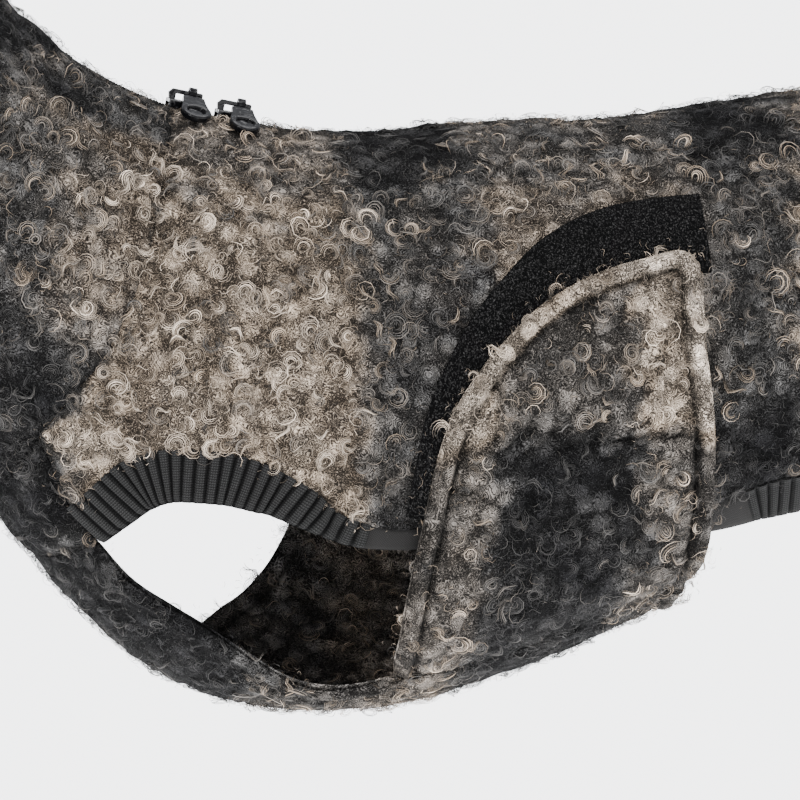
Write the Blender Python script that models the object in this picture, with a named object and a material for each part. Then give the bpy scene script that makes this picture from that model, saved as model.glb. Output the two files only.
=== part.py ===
"""Wrap coat for a medium dog, of curled wool cloth with ribbed knit trims.

Metres, +Z up. The head end points toward -X and the tail end toward +X; the wearer's left is at -Y.
The origin lies on the inner face of the cloth, on the centre line of the back over the withers.

Every cloth piece follows one worn form. A place on the form is given by two numbers:
  station  which cross-section, counted from the neck opening (0) to the hem over the tail (14);
  share    how far round the girth: 0 on the back's centre line, 1 on the belly's, 2 back again.
Shares from 0 to 1 are the wearer's left side, from 1 to 2 the right side, and -share is the same
place as 2 - share.
"""
import math

import bmesh
import bpy
import numpy as np
from mathutils import Matrix, Vector

MM = 0.001

# Cloth, in metres
PILE_CLOTH = 5.0 * MM          # woven ground and its curled pile
PRESSED_EDGE = 3.0 * MM        # the same cloth where an edge is stitched down
SEAM_GAP = 0.3 * MM            # between pieces that are sewn edge to edge
LAYER_GAP = 0.5 * MM           # between pieces that lie on each other
HEM_RISE = 1.3 * MM            # a hem is two layers thick
RIB_INNER = 0.6 * MM           # the knit's inner face stands off the form by this much
RIB_GROUND = 2.6 * MM          # bottom of the grooves between its ribs
RIB_RISE = 1.0 * MM            # ribs above those grooves
RIB_REPEAT = 4.4 * MM          # one raised rib and one groove
BINDING_OUTER = 2.8 * MM
BAND_THICKNESS = 1.3 * MM      # loop side of the fastening
BAND_WIDTH = 32.0 * MM
FLAP_LIFT = PILE_CLOTH + LAYER_GAP + BAND_THICKNESS + LAYER_GAP

# Usual length on the cloth of one station and of a whole share, in metres
STATION_LENGTH = 40.0 * MM
BACK_STATION_LENGTH = 30.0 * MM  # the same along the zip
SHARE_LENGTH = 280.0 * MM

# Zip, in metres
ZIP_PARTING = 4.8 * MM         # from the centre line to each cloth edge
ZIP_RAMP = 9.0 * MM            # over which the parting closes at each end
CHAIN_HALF_WIDTH = 2.4 * MM
CHAIN_TOP = 2.2 * MM
TAPE_HALF_WIDTH = 14.0 * MM
TAPE_BOTTOM = -1.9 * MM
TAPE_TOP = -0.9 * MM
ZIP_START = 1.62               # stations
ZIP_END = 6.30
CHAIN_INSET = 0.50             # stations by which the chain is shorter than the zip, at each end
CHAIN_RISE = 0.25              # stations over which its ends rise
RIDGE = 3.5 * MM               # the stiff zip lifts the cloth along the back
RIDGE_WIDTH = 9.0 * MM
CHAIN_SHOULDER = 0.2 * MM      # the chain's ends stand this far above the tape
PRESS_FROM = 5.0 * MM          # the cloth beside the zip is pressed flat up to here
PRESS_TO = 15.0 * MM           # and has its full pile from here

# Slider and pull, in metres
PLATE_LENGTH = 13.0 * MM
PLATE_WIDTH = 8.8 * MM
PLATE_THICKNESS = 1.4 * MM
PLATE_CLEARANCE = 0.5 * MM
FLANGE_DROP = 1.8 * MM
FLANGE_WIDTH = 1.0 * MM
BAR_HEIGHT = 3.2 * MM          # pull's axis above the plate
BAR_HALF = 0.9 * MM
EDGE_BEVEL = 0.8 * MM          # of the plate's long edges
CROWN_HALF_LENGTH = 6.9 * MM
CROWN_CORNER = 0.5 * MM
CROWN_SLOPE = 1.6 * MM         # the front end of the bridge is a wedge
FRONT_POST = 3.0 * MM
REAR_POST = 2.0 * MM
LOOP_INNER = 1.5 * MM
LOOP_OUTER = 2.6 * MM
LOOP_WIDTH = 3.0 * MM
LOOP_CENTRE = 2.7 * MM         # along the slider, behind its middle
PULL_THICKNESS = 1.8 * MM
PULL_NECK = 4.6 * MM           # half width of the shoulder
NECK_TAPER = 0.3 * MM
NECK_END = 8.4 * MM            # from the axis to where the shoulder meets the round end
SHOULDER = 4.2 * MM            # from the axis to the shoulder
THROAT = 3.4 * MM              # from the axis to the throat below the loop
THROAT_TOP = 2.0 * MM
PULL_RADIUS = 6.2 * MM
PULL_REACH = 16.4 * MM         # from the axis to the middle of the round end
RECESS_RADIUS = 3.7 * MM
RECESS_DEPTH = 0.5 * MM
RECESS_OVAL = 0.8              # the recess is this much shorter than wide

# Worn form: one row for each cross-section, in millimetres. widest is where between back and belly
# the section is widest; crown and keel round it above and below that place (1 is an ellipse).
SECTION_COLUMNS = ("back_x", "back_z", "belly_x", "belly_z", "half_width", "widest", "crown", "keel")
SECTIONS = (
    (-150, 87, -242, -8, 54, 0.50, 1.00, 1.0),
    (-118, 51, -196, -62, 56, 0.50, 1.00, 1.0),
    (-84, 26, -158, -100, 59, 0.52, 1.05, 1.0),
    (-52, 11, -128, -136, 64, 0.54, 1.15, 1.0),
    (-24, 4, -101, -170, 71, 0.54, 1.15, 1.0),
    (0, 0, -60, -209, 77, 0.52, 1.10, 1.0),
    (28, -1, -16, -226, 80, 0.50, 1.05, 1.0),
    (56, -1, 28, -228, 81, 0.48, 1.00, 1.0),
    (92, 0, 76, -217, 81, 0.48, 1.00, 1.0),
    (128, 0, 124, -199, 80, 0.48, 1.00, 1.0),
    (160, 4, 168, -182, 78, 0.48, 1.00, 1.0),
    (200, 9, 212, -168, 76, 0.48, 1.00, 1.0),
    (260, 13, 268, -160, 76, 0.48, 1.00, 1.0),
    (330, 10, 334, -160, 76, 0.48, 1.00, 1.0),
    (401, -6, 401, -168, 70, 0.48, 1.00, 1.0),
)

# Seams and edges on the left side, each a smooth line through (station, share)
NECK_SEAM = ((2.95, 0.0), (2.97, 0.14), (3.08, 0.28), (3.18, 0.38), (3.22, 0.46), (3.21, 0.55),
             (3.10, 0.64), (3.05, 0.737))
CHEST_SIDE = ((3.05, 0.737), (3.25, 0.752), (3.50, 0.772), (3.72, 0.790))
CHEST_FRONT_END = ((3.72, 0.790), (4.10, 0.802))
STRAP_SEAM = ((4.10, 0.802), (3.98, 0.86), (3.90, 0.92), (3.86, 1.0))

# Lower edge of the back panel, from the front of the armhole round to the centre of the tail end.
# trim is the width in millimetres of the piece sewn to it there.
EDGE_COLUMNS = ("station", "share", "trim")
TAIL_CORNER = (13.0, 0.65)     # where the side edge turns into the tail edge
LOWER_EDGE = (
    (3.72, 0.790, 17.0),
    (3.80, 0.727, 18.0),
    (3.92, 0.662, 19.5),
    (4.15, 0.615, 20.0),
    (4.42, 0.583, 20.0),
    (4.85, 0.553, 19.5),
    (5.30, 0.551, 18.0),
    (5.70, 0.571, 14.5),
    (6.10, 0.597, 10.5),
    (6.65, 0.612, 8.0),
    (7.15, 0.618, 8.0),
    (8.05, 0.642, 9.0),
    (9.00, 0.678, 10.5),
    (9.50, 0.694, 13.0),
    (9.85, 0.698, 16.0),
    (10.15, 0.694, 19.0),
    (10.60, 0.703, 20.0),
    (11.30, 0.715, 20.0),
    (12.10, 0.712, 20.0),
    (12.70, 0.690, 20.0),
    (13.10, 0.630, 20.0),
    (13.36, 0.520, 20.0),
    (13.52, 0.360, 20.0),
    (13.60, 0.180, 20.0),
    (13.62, 0.0, 20.0),
)
RIB_STOP = 6.35                # station where the armhole rib meets the side binding
HEM_RIB_START = 9.98           # station where the side binding meets the hem rib

# Belly panel: both edges of the chest strap and belly, then the outline of each wrapped flap
STRAP_LEFT = ((4.10, 0.802), (4.45, 0.812), (4.80, 0.803), (5.10, 0.803), (5.50, 0.822),
              (6.15, 0.868), (6.60, 0.874), (7.00, 0.86), (7.60, 0.86), (9.55, 0.86))
STRAP_RIGHT = ((4.10, 0.802), (4.50, 0.820), (4.90, 0.835), (5.30, 0.843), (5.50, 0.846),
               (6.10, 0.856), (6.60, 0.86), (7.60, 0.86), (9.55, 0.86))
FLAP_LEFT = {
    "front": ((7.00, 0.860), (6.88, 0.79), (6.82, 0.70), (6.84, 0.60), (6.90, 0.51), (7.04, 0.455),
              (7.34, 0.400)),
    "top": ((7.34, 0.400), (7.80, 0.350), (8.30, 0.325), (8.80, 0.315), (9.32, 0.317), (9.50, 0.340)),
    "rear": ((9.55, 0.860), (9.57, 0.77), (9.59, 0.66), (9.57, 0.55), (9.49, 0.44), (9.50, 0.340)),
}
FLAP_RIGHT = {
    "front": ((5.50, 0.846), (5.72, 0.80), (6.00, 0.757), (6.25, 0.707), (6.42, 0.65), (6.47, 0.56),
              (6.58, 0.47), (6.90, 0.390)),
    "top": ((6.90, 0.390), (7.40, 0.325), (7.95, 0.285), (8.50, 0.265), (9.00, 0.262), (9.20, 0.285)),
    "rear": ((9.55, 0.860), (9.52, 0.77), (9.46, 0.66), (9.36, 0.55), (9.24, 0.42), (9.20, 0.285)),
}
FLAP_RISE_FROM = 0.855         # share where a flap starts to lift off the form
FLAP_RISE_TO = 0.745           # share above which it lies on the back panel

# Outer edge of the loop band on the side of the back panel
BAND_EDGE = ((6.66, 0.590), (6.68, 0.53), (6.72, 0.47), (6.90, 0.403), (7.15, 0.348), (7.47, 0.303),
             (7.80, 0.266), (8.20, 0.241), (8.65, 0.228), (9.15, 0.228), (9.64, 0.238))

# Largest soft folds of the cloth. lean is in degrees from the stations' direction; length and width
# are half sizes and depth is the greatest one, in millimetres.
FOLD_COLUMNS = ("station", "share", "lean", "length", "width", "depth")
FOLDS = (
    (4.55, 0.40, 20, 60, 14, 1.6),
    (5.60, 0.46, -25, 50, 12, 1.8),
    (2.40, 0.36, 75, 55, 13, 1.5),
    (1.55, 0.62, 80, 50, 13, 1.6),
    (10.60, 0.50, 60, 55, 14, 1.7),
    (12.10, 0.40, 70, 60, 16, 1.6),
    (5.00, 1.52, 15, 55, 13, 1.7),
    (2.10, 1.60, 100, 55, 13, 1.5),
    (11.00, 1.55, 115, 60, 15, 1.7),
)

# Sliders: (name, station, tilt down to the rear, lie of the pull below level), angles in degrees
SLIDERS = (
    ("front", 3.15, 12.5, 22.5),
    ("rear", 3.86, 12.0, 23.5),
)

# Grid sizes
STATIONS_PER_EDGE = 34
BACK_SPREAD = (5.9, 9.4)       # stations of the back's grid at a third and two thirds of its columns
BESIDE_CENTRE = 0.02           # share beside the centre line where the girth's slope is taken
SEAM_STEPS = 13
CHEST_STEPS = 4
CHEST_COLUMNS = 11
NECK_ROWS = 8
BELLY_COLUMNS = 9
BELLY_STATIONS = (4.45, 4.8, 5.15, 5.5, 5.87, 6.24, 6.62, 7.0, 7.4, 7.8, 8.2, 8.6, 9.0, 9.3, 9.55)
LEFT_CORNER = 7.0              # station where the left flap starts
RIGHT_CORNER = 5.5             # and the right one
FLAP_ROWS = 15
BAND_COLUMNS = 20
ZIP_COLUMNS = 22
ROUND_SIDES = 12
PULL_SIDES = 28

FINISHES = {                   # colour, roughness, metallic
    "wool": ((0.12, 0.105, 0.09), 0.95, 0.0),
    "dark_wool": ((0.035, 0.034, 0.036), 0.95, 0.0),
    "rib_knit": ((0.022, 0.023, 0.026), 0.9, 0.0),
    "loop_tape": ((0.006, 0.006, 0.007), 0.95, 0.0),
    "facing": ((0.03, 0.03, 0.033), 0.8, 0.0),
    "zip_tape": ((0.012, 0.012, 0.013), 0.7, 0.0),
    "black_metal": ((0.01, 0.01, 0.011), 0.2, 1.0),
}


def clear_objects():
    """Remove whatever the scene holds."""
    for item in list(bpy.data.objects):
        bpy.data.objects.remove(item, do_unlink=True)


def finish(name):
    """Principled material of a named finish, made once."""
    made = bpy.data.materials.get(name)
    if made:
        return made
    colour, roughness, metallic = FINISHES[name]
    made = bpy.data.materials.new(name)
    made.use_nodes = True
    shader = made.node_tree.nodes["Principled BSDF"]
    shader.inputs["Base Color"].default_value = (*colour, 1.0)
    shader.inputs["Roughness"].default_value = roughness
    shader.inputs["Metallic"].default_value = metallic
    return made


# The worn form ------------------------------------------------------------------------------------

def column(name):
    """Index of a section's column."""
    return SECTION_COLUMNS.index(name)


def section_rows():
    """Sections in metres, as an array."""
    rows = np.array(SECTIONS, float)
    rows[:, :5] *= MM
    return rows


SECTION_ROWS = section_rows()
RING_ANGLES = np.linspace(0.0, math.pi, 73)


def section_at(station):
    """Section values between the rows: a smooth curve through every column."""
    last = len(SECTION_ROWS) - 1
    low = np.clip(np.floor(station).astype(int), 0, last - 1)
    t = (station - low)[:, None]
    before = SECTION_ROWS[np.maximum(low - 1, 0)]
    here = SECTION_ROWS[low]
    there = SECTION_ROWS[low + 1]
    after = SECTION_ROWS[np.minimum(low + 2, last)]
    leave = (there - before) / 2
    arrive = (after - here) / 2
    return ((2 * t**3 - 3 * t**2 + 1) * here + (t**3 - 2 * t**2 + t) * leave
            + (3 * t**2 - 2 * t**3) * there + (t**3 - t**2) * arrive)


def smooth_step(value, start, stop):
    """0 before start, 1 after stop, and an easy curve between."""
    t = np.clip((value - start) / (stop - start), 0.0, 1.0)
    return t * t * (3 - 2 * t)


def ring(station):
    """Left half of each section as points from back to belly.

    At angle a the point lies half_width * sin(a) to the left. Its level between back and belly is
    widest * (1 - cos(a)^crown) above the widest place and widest + (1 - widest) * |cos(a)|^keel
    below it. Along the zip, the cloth beside the centre line sinks by the ridge's height.
    """
    rows = section_at(station)
    widest = rows[:, column("widest"), None]
    cosine = np.abs(np.cos(RING_ANGLES))
    above = widest * (1 - cosine ** rows[:, column("crown"), None])
    below = widest + (1 - widest) * cosine ** rows[:, column("keel"), None]
    level = np.where(RING_ANGLES <= math.pi / 2, above, below)
    across = rows[:, column("half_width"), None] * np.sin(RING_ANGLES)
    x = rows[:, column("back_x"), None] * (1 - level) + rows[:, column("belly_x"), None] * level
    z = rows[:, column("back_z"), None] * (1 - level) + rows[:, column("belly_z"), None] * level
    along_zip = smooth_step(station, 0.6, 2.2) * (1 - smooth_step(station, 5.6, 7.4))
    sink = RIDGE * along_zip[:, None] * (1 - np.exp(-(across / RIDGE_WIDTH) ** 2)) * (1 - level)
    return np.stack([x, -across, z - sink], axis=-1)


def form(place):
    """Points of the form at places (station, share), by even lengths round each section."""
    place = np.asarray(place, float)
    station = place[..., 0].ravel()
    share = np.mod(place[..., 1].ravel(), 2.0)
    right = share > 1.0
    share = np.where(right, 2.0 - share, share)
    rings = ring(station)
    steps = np.linalg.norm(np.diff(rings, axis=1), axis=2)
    lengths = np.concatenate([np.zeros((len(steps), 1)), np.cumsum(steps, axis=1)], axis=1)
    lengths /= lengths[:, -1:]
    low = np.clip((lengths <= share[:, None]).sum(axis=1) - 1, 0, len(RING_ANGLES) - 2)
    row = np.arange(len(station))
    part = (share - lengths[row, low]) / (lengths[row, low + 1] - lengths[row, low])
    points = rings[row, low] * (1 - part[:, None]) + rings[row, low + 1] * part[:, None]
    points[right, 1] *= -1
    return points.reshape(place.shape[:-1] + (3,))


def slopes(place):
    """Change of the form's points per station and per share."""
    station_step = np.array([0.02, 0.0])
    share_step = np.array([0.0, 0.008])
    along = (form(place + station_step) - form(place - station_step)) / 0.04
    around = (form(place + share_step) - form(place - share_step)) / 0.016
    return along, around


def outward(place):
    """Unit directions out of the form."""
    along, around = slopes(np.asarray(place, float))
    normal = np.cross(around, along)
    return normal / np.linalg.norm(normal, axis=-1, keepdims=True)


def folds(place):
    """Inward depth of the soft folds at places, in metres: long troughs with rounded ends."""
    points = form(place)
    depth = np.zeros(place.shape[:-1])
    for row in FOLDS:
        fold = dict(zip(FOLD_COLUMNS, row))
        middle = np.array([fold["station"], fold["share"]])
        along, around = slopes(middle)
        along = along / np.linalg.norm(along)
        around = around / np.linalg.norm(around)
        turn = math.radians(fold["lean"])
        run = along * math.cos(turn) + around * math.sin(turn)
        offset = points - form(middle)
        lengthwise = offset @ run
        sideways = np.linalg.norm(offset - lengthwise[..., None] * run, axis=-1)
        reach = (lengthwise / (fold["length"] * MM)) ** 2 + (sideways / (fold["width"] * MM)) ** 2
        depth += fold["depth"] * MM * np.exp(-reach * 2)
    return depth


def skin(place, offset):
    """Points of the form moved out by an offset, less the folds."""
    place = np.asarray(place, float)
    lift = np.asarray(offset, float) - folds(place)
    return form(place) + outward(place) * lift[..., None]


def walk(place, step):
    """Places reached from others by short steps given as vectors along the surface."""
    along, around = slopes(place)
    aa = (along * along).sum(-1)
    bb = (around * around).sum(-1)
    ab = (along * around).sum(-1)
    sa = (step * along).sum(-1)
    sb = (step * around).sum(-1)
    det = aa * bb - ab * ab
    move = np.stack([(sa * bb - sb * ab) / det, (sb * aa - sa * ab) / det], axis=-1)
    return place + move


# Lines on the form --------------------------------------------------------------------------------

def smooth_line(rows, per_span=16):
    """Dense smooth line through rows, with tangents that allow for uneven spacing."""
    rows = np.array(rows, float)
    scaled = rows[:, :2] * (STATION_LENGTH, SHARE_LENGTH)
    gaps = np.sqrt(np.linalg.norm(np.diff(scaled, axis=0), axis=1))
    knots = np.concatenate([[0.0], np.cumsum(gaps)])
    rates = np.diff(rows, axis=0) / gaps[:, None]
    tangents = np.empty_like(rows)
    tangents[0] = rates[0]
    tangents[-1] = rates[-1]
    weight = gaps[:, None]
    tangents[1:-1] = (rates[:-1] * weight[1:] + rates[1:] * weight[:-1]) / (weight[1:] + weight[:-1])
    t = np.linspace(0, 1, per_span, endpoint=False)[None, :, None]
    start, stop = rows[:-1, None], rows[1:, None]
    leave = tangents[:-1, None] * gaps[:, None, None]
    arrive = tangents[1:, None] * gaps[:, None, None]
    dense = ((2 * t**3 - 3 * t**2 + 1) * start + (t**3 - 2 * t**2 + t) * leave
             + (3 * t**2 - 2 * t**3) * stop + (t**3 - t**2) * arrive)
    return np.concatenate([dense.reshape(-1, rows.shape[1]), rows[-1:]])


def cloth_lengths(line):
    """Length on the form from a line's start to each of its points."""
    steps = np.linalg.norm(np.diff(form(line[:, :2]), axis=0), axis=1)
    return np.concatenate([[0.0], np.cumsum(steps)])


def spaced(line, count):
    """A line's points at even lengths on the cloth."""
    lengths = cloth_lengths(line)
    wanted = np.linspace(0, lengths[-1], count)
    return np.column_stack([np.interp(wanted, lengths, line[:, k]) for k in range(line.shape[1])])


def edge(rows, count):
    """Evenly spaced points of the smooth line through rows."""
    return spaced(smooth_line(rows), count)


def mirrored(place):
    """The same places on the other side."""
    return np.stack([place[..., 0], -place[..., 1]], axis=-1)


def inset_line(line, distance):
    """A line moved sideways on the cloth: positive is to the left of its direction, seen from outside."""
    points = form(line)
    run = np.gradient(points, axis=0)
    run /= np.linalg.norm(run, axis=1, keepdims=True)
    side = np.cross(outward(line), run)
    return walk(line, side * np.asarray(distance).reshape(-1, 1))


def filled(front, rear, top, bottom):
    """Grid that fills four edges which meet at their ends; rows run from front to rear."""
    p = np.linspace(0, 1, len(top))[:, None, None]
    q = np.linspace(0, 1, len(front))[None, :, None]
    between = (1 - q) * top[:, None] + q * bottom[:, None] + (1 - p) * front[None] + p * rear[None]
    corners = ((1 - p) * (1 - q) * top[0] + p * (1 - q) * top[-1]
               + (1 - p) * q * bottom[0] + p * q * bottom[-1])
    return between - corners


# Solids -------------------------------------------------------------------------------------------

def make_object(name, points, faces, material):
    """Closed mesh object with its faces outward."""
    mesh = bpy.data.meshes.new(name)
    mesh.from_pydata([tuple(p) for p in points], [], [tuple(f) for f in faces])
    work = bmesh.new()
    work.from_mesh(mesh)
    bmesh.ops.recalc_face_normals(work, faces=work.faces)
    work.to_mesh(mesh)
    work.free()
    made = bpy.data.objects.new(name, mesh)
    mesh.materials.append(finish(material))
    mesh.shade_smooth()
    mesh.set_sharp_from_angle(angle=math.radians(45))
    bpy.context.collection.objects.link(made)
    return made


def grid_faces(first, rows, columns):
    """Quads of a grid whose points are numbered row by row from first."""
    i, j = np.meshgrid(np.arange(rows - 1), np.arange(columns - 1), indexing="ij")
    a = first + (i * columns + j).ravel()
    return np.stack([a, a + 1, a + columns + 1, a + columns], axis=1)


def wall(name, patches, material):
    """Solid wall from patches that share edges.

    A patch is a grid of places with the offset of its inner and of its outer face at each place.
    """
    places, lows, highs, quads = [], [], [], []
    first = 0
    for grid, low, high in patches:
        rows, columns = grid.shape[:2]
        places.append(grid.reshape(-1, 2))
        lows.append(np.broadcast_to(low, (rows, columns)).ravel())
        highs.append(np.broadcast_to(high, (rows, columns)).ravel())
        quads.append(grid_faces(first, rows, columns))
        first += rows * columns
    places = np.concatenate(places)
    keys = np.round(places * 20000).astype(int)
    _, keep, index = np.unique(keys, axis=0, return_index=True, return_inverse=True)
    index = index.reshape(-1)
    places = places[keep]
    quads = index[np.concatenate(quads)]
    inner = skin(places, np.concatenate(lows)[keep])
    outer = skin(places, np.concatenate(highs)[keep])
    count = len(places)
    sides = np.sort(np.concatenate([quads[:, [k, (k + 1) % 4]] for k in range(4)]), axis=1)
    sides, uses = np.unique(sides, axis=0, return_counts=True)
    rims = [(a, b, b + count, a + count) for a, b in sides[uses == 1].tolist()]
    faces = quads[:, ::-1].tolist() + (quads + count).tolist() + rims
    return make_object(name, np.concatenate([inner, outer]), faces, material)


def parting(station):
    """Half the distance between the cloth's edges at the centre of the back, in metres."""
    ramp = ZIP_RAMP / BACK_STATION_LENGTH
    opened = smooth_step(station, ZIP_START, ZIP_START + ramp)
    closed = 1 - smooth_step(station, ZIP_END - ramp, ZIP_END)
    return SEAM_GAP / 2 + (ZIP_PARTING - SEAM_GAP / 2) * opened * closed


def centre_edge(stations):
    """Places on the left cloth edge beside the centre line of the back."""
    place = np.column_stack([stations, np.full(len(stations), BESIDE_CENTRE)])
    around = np.linalg.norm(slopes(place)[1], axis=-1)
    return np.column_stack([stations, parting(stations) / around])


def pile_height(grid):
    """Outer offset of the cloth: full pile, pressed flatter beside the zip."""
    side = np.abs(form(grid)[..., 1])
    along_zip = smooth_step(grid[..., 0], ZIP_START - 0.3, ZIP_START + 0.2)
    along_zip = along_zip * (1 - smooth_step(grid[..., 0], ZIP_END - 0.2, ZIP_END + 0.3))
    pressed = along_zip * (1 - smooth_step(side, PRESS_FROM, PRESS_TO))
    return PILE_CLOTH - (PILE_CLOTH - PRESSED_EDGE) * pressed


def lower_edge_line():
    """Back panel's lower edge, whole on the left side, with the width of its trim."""
    rows = np.array(LOWER_EDGE, float)
    over = rows[-3:-1][::-1] * (1, -1, 1)
    line = smooth_line(np.concatenate([rows, over]))
    return line[:16 * (len(rows) - 1) + 1]


def back_edges():
    """Front, rear, top and bottom edges of the left half of the back panel."""
    seam = inset_line(edge(NECK_SEAM, SEAM_STEPS), SEAM_GAP / 2)
    chest = inset_line(edge(CHEST_SIDE, CHEST_STEPS), SEAM_GAP / 2)
    lower = lower_edge_line()
    corner = np.argmin(np.abs(lower[:, :2] - TAIL_CORNER).sum(axis=1))
    bottom = spaced(lower[:corner + 1, :2], STATIONS_PER_EDGE)
    rear = spaced(lower[corner:, :2], SEAM_STEPS + CHEST_STEPS - 1)[::-1]
    front = np.concatenate([seam[:-1], [(seam[-1] + chest[0]) / 2], chest[1:]])
    stations = np.interp(np.linspace(0, 1, STATIONS_PER_EDGE), np.linspace(0, 1, 4),
                         (front[0, 0], *BACK_SPREAD, rear[0, 0]))
    top = centre_edge(stations)
    front[0] = top[0]
    rear[0] = top[-1]
    bottom[0] = front[-1]
    rear[-1] = bottom[-1]
    return front, rear, top, bottom


def build_back():
    """Two halves of the back panel, from the neck seam to the tail, parted along the zip."""
    front, rear, top, bottom = back_edges()
    grid = filled(front, rear, top, bottom)
    for side, places in (("left", grid), ("right", mirrored(grid))):
        wall("back_" + side, [(places, 0.0, pile_height(places))], "wool")


def build_neck():
    """Neck and chest in one piece: round the neck, open at the back, and down to the strap."""
    seam = inset_line(edge(NECK_SEAM, SEAM_STEPS), -SEAM_GAP / 2)
    chest = inset_line(edge(CHEST_SIDE, CHEST_STEPS), -SEAM_GAP / 2)
    ends = inset_line(edge(CHEST_FRONT_END, 3), -SEAM_GAP / 2)
    corner = (seam[-1] + chest[0]) / 2
    left = np.concatenate([seam[:-1], [corner]])
    left[0, 1] = 0.0
    middle = np.linspace(corner[1], 2 - corner[1], CHEST_COLUMNS)
    shares = np.concatenate([left[:, 1], middle[1:-1], 2 - left[::-1, 1]])
    ends_at = np.concatenate([left[:, 0], np.full(CHEST_COLUMNS - 2, corner[0]), left[::-1, 0]])
    rows = np.linspace(0, 1, NECK_ROWS)[:, None]
    stations = rows * ends_at[None]
    round_neck = np.stack([stations, np.broadcast_to(shares, stations.shape)], axis=-1)
    opening = centre_edge(stations[:, 0])
    round_neck[:, 0] = opening
    round_neck[:, -1, 0] = opening[:, 0]
    round_neck[:, -1, 1] = 2 - opening[:, 1]
    sides = np.concatenate([[corner], chest[1:-1], [(chest[-1] + ends[0]) / 2], ends[1:]])
    strap = strap_seam(-SEAM_GAP / 2)
    strap[0] = sides[-1]
    strap[-1] = (sides[-1, 0], 2 - sides[-1, 1])
    top = np.column_stack([np.full(CHEST_COLUMNS, corner[0]), middle])
    other = np.column_stack([sides[:, 0], 2 - sides[:, 1]])
    chest_grid = filled(sides, other, top, strap)
    patches = [(round_neck, 0.0, pile_height(round_neck)), (chest_grid, 0.0, PILE_CLOTH)]
    wall("neck_chest", patches, "dark_wool")


def strap_seam(distance):
    """Seam across the strap, from its left edge to its right one, moved toward the tail."""
    half = edge(STRAP_SEAM, CHEST_COLUMNS // 2 + 1)
    whole = np.concatenate([half, np.column_stack([half[::-1, 0], 2 - half[::-1, 1]])[1:]])
    return inset_line(whole, distance)


def share_on(rows, stations):
    """Share of an edge line at given stations."""
    line = smooth_line(rows)
    order = np.argsort(line[:, 0])
    return np.interp(stations, line[order, 0], line[order, 1])


def flap_offset(grid):
    """Height of a flap's inner face: on the form at the belly, above the loop band at the side."""
    share = np.mod(grid[..., 1], 2.0)
    share = np.where(share > 1, 2 - share, share)
    return FLAP_LIFT * (1 - smooth_step(share, FLAP_RISE_TO, FLAP_RISE_FROM))


def build_belly():
    """Belly panel: strap between the front legs, belly, and both flaps that wrap up the sides."""
    stations = np.array(BELLY_STATIONS)
    left = share_on(STRAP_LEFT, stations)
    right = 2 - share_on(STRAP_RIGHT, stations)
    across = np.linspace(0, 1, CHEST_COLUMNS)
    shares = left[:, None] * (1 - across) + right[:, None] * across
    body = np.stack([np.broadcast_to(stations[:, None], shares.shape), shares], axis=-1)
    body = np.concatenate([strap_seam(SEAM_GAP / 2)[None], body])
    patches = [(body, 0.0, PILE_CLOTH)]
    flaps = ((FLAP_LEFT, LEFT_CORNER, 0, 1), (FLAP_RIGHT, RIGHT_CORNER, -1, -1))
    for rows, corner, column_at, flip in flaps:
        start = 1 + int(np.argmin(np.abs(stations - corner)))
        base = body[start:, column_at]
        base = base if flip > 0 else np.column_stack([base[:, 0], 2 - base[:, 1]])
        front = edge(rows["front"], FLAP_ROWS)
        rear = edge(rows["rear"], FLAP_ROWS)
        top = edge(rows["top"], len(base))
        front[0] = base[0]
        rear[0] = base[-1]
        grid = filled(front, rear, base, top)
        rim = np.zeros(grid.shape[:2])
        rim[0] = rim[-1] = rim[:, -1] = 1
        rise = HEM_RISE * rim * smooth_step(FLAP_RISE_FROM - grid[..., 1], 0.0, 0.06)
        low = flap_offset(grid)
        high = low + PILE_CLOTH + rise
        grid = grid if flip > 0 else np.stack([grid[..., 0], 2 - grid[..., 1]], axis=-1)
        patches.append((grid, low, high))
    wall("belly_panel", patches, "wool")


def trim_strip(start, stop, repeats):
    """Places along the back panel's lower edge between two stations, and the widths there.

    The strip starts on straight runs between the panel's own points, so that the seam's gap holds.
    """
    lower = lower_edge_line()
    lengths = cloth_lengths(lower)
    turn = int(np.argmax(lower[:, 0]))
    rising = lower[:turn + 1, 0]
    low = np.interp(start, rising, lengths[:turn + 1]) if start is not None else 0.0
    high = np.interp(stop, rising, lengths[:turn + 1]) if stop is not None else lengths[-1]
    wanted = np.linspace(low, high, repeats)
    line = np.column_stack([np.interp(wanted, lengths, lower[:, k]) for k in range(3)])
    _, rear, _, bottom = back_edges()
    outline = np.concatenate([bottom, rear[::-1][1:]])
    outline_lengths = cloth_lengths(outline)
    outline_lengths *= lengths[-1] / outline_lengths[-1]
    seam = np.column_stack([np.interp(wanted, outline_lengths, outline[:, k]) for k in range(2)])
    return seam, line[:, :2], line[:, EDGE_COLUMNS.index("trim")] * MM


def strip_rows(seam, line, widths, fractions):
    """Rows of places from the seam out to the free edge, square to the smooth edge line."""
    points = form(line)
    run = np.gradient(points, axis=0)
    run /= np.linalg.norm(run, axis=1, keepdims=True)
    side = np.cross(run, outward(line))
    rows = []
    for part in fractions:
        rows.append(walk(seam, side * (SEAM_GAP + part * widths)[:, None]))
    return np.stack(rows, axis=1)


def rib_heights(count):
    """Outer offsets along a ribbed strip: a groove, then a rib, and so on."""
    return RIB_GROUND + RIB_RISE * (np.arange(count) % 2)


def strip_length(start, stop):
    """Length of the lower edge between two stations."""
    _, line, _ = trim_strip(start, stop, 80)
    return cloth_lengths(line)[-1]


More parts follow.
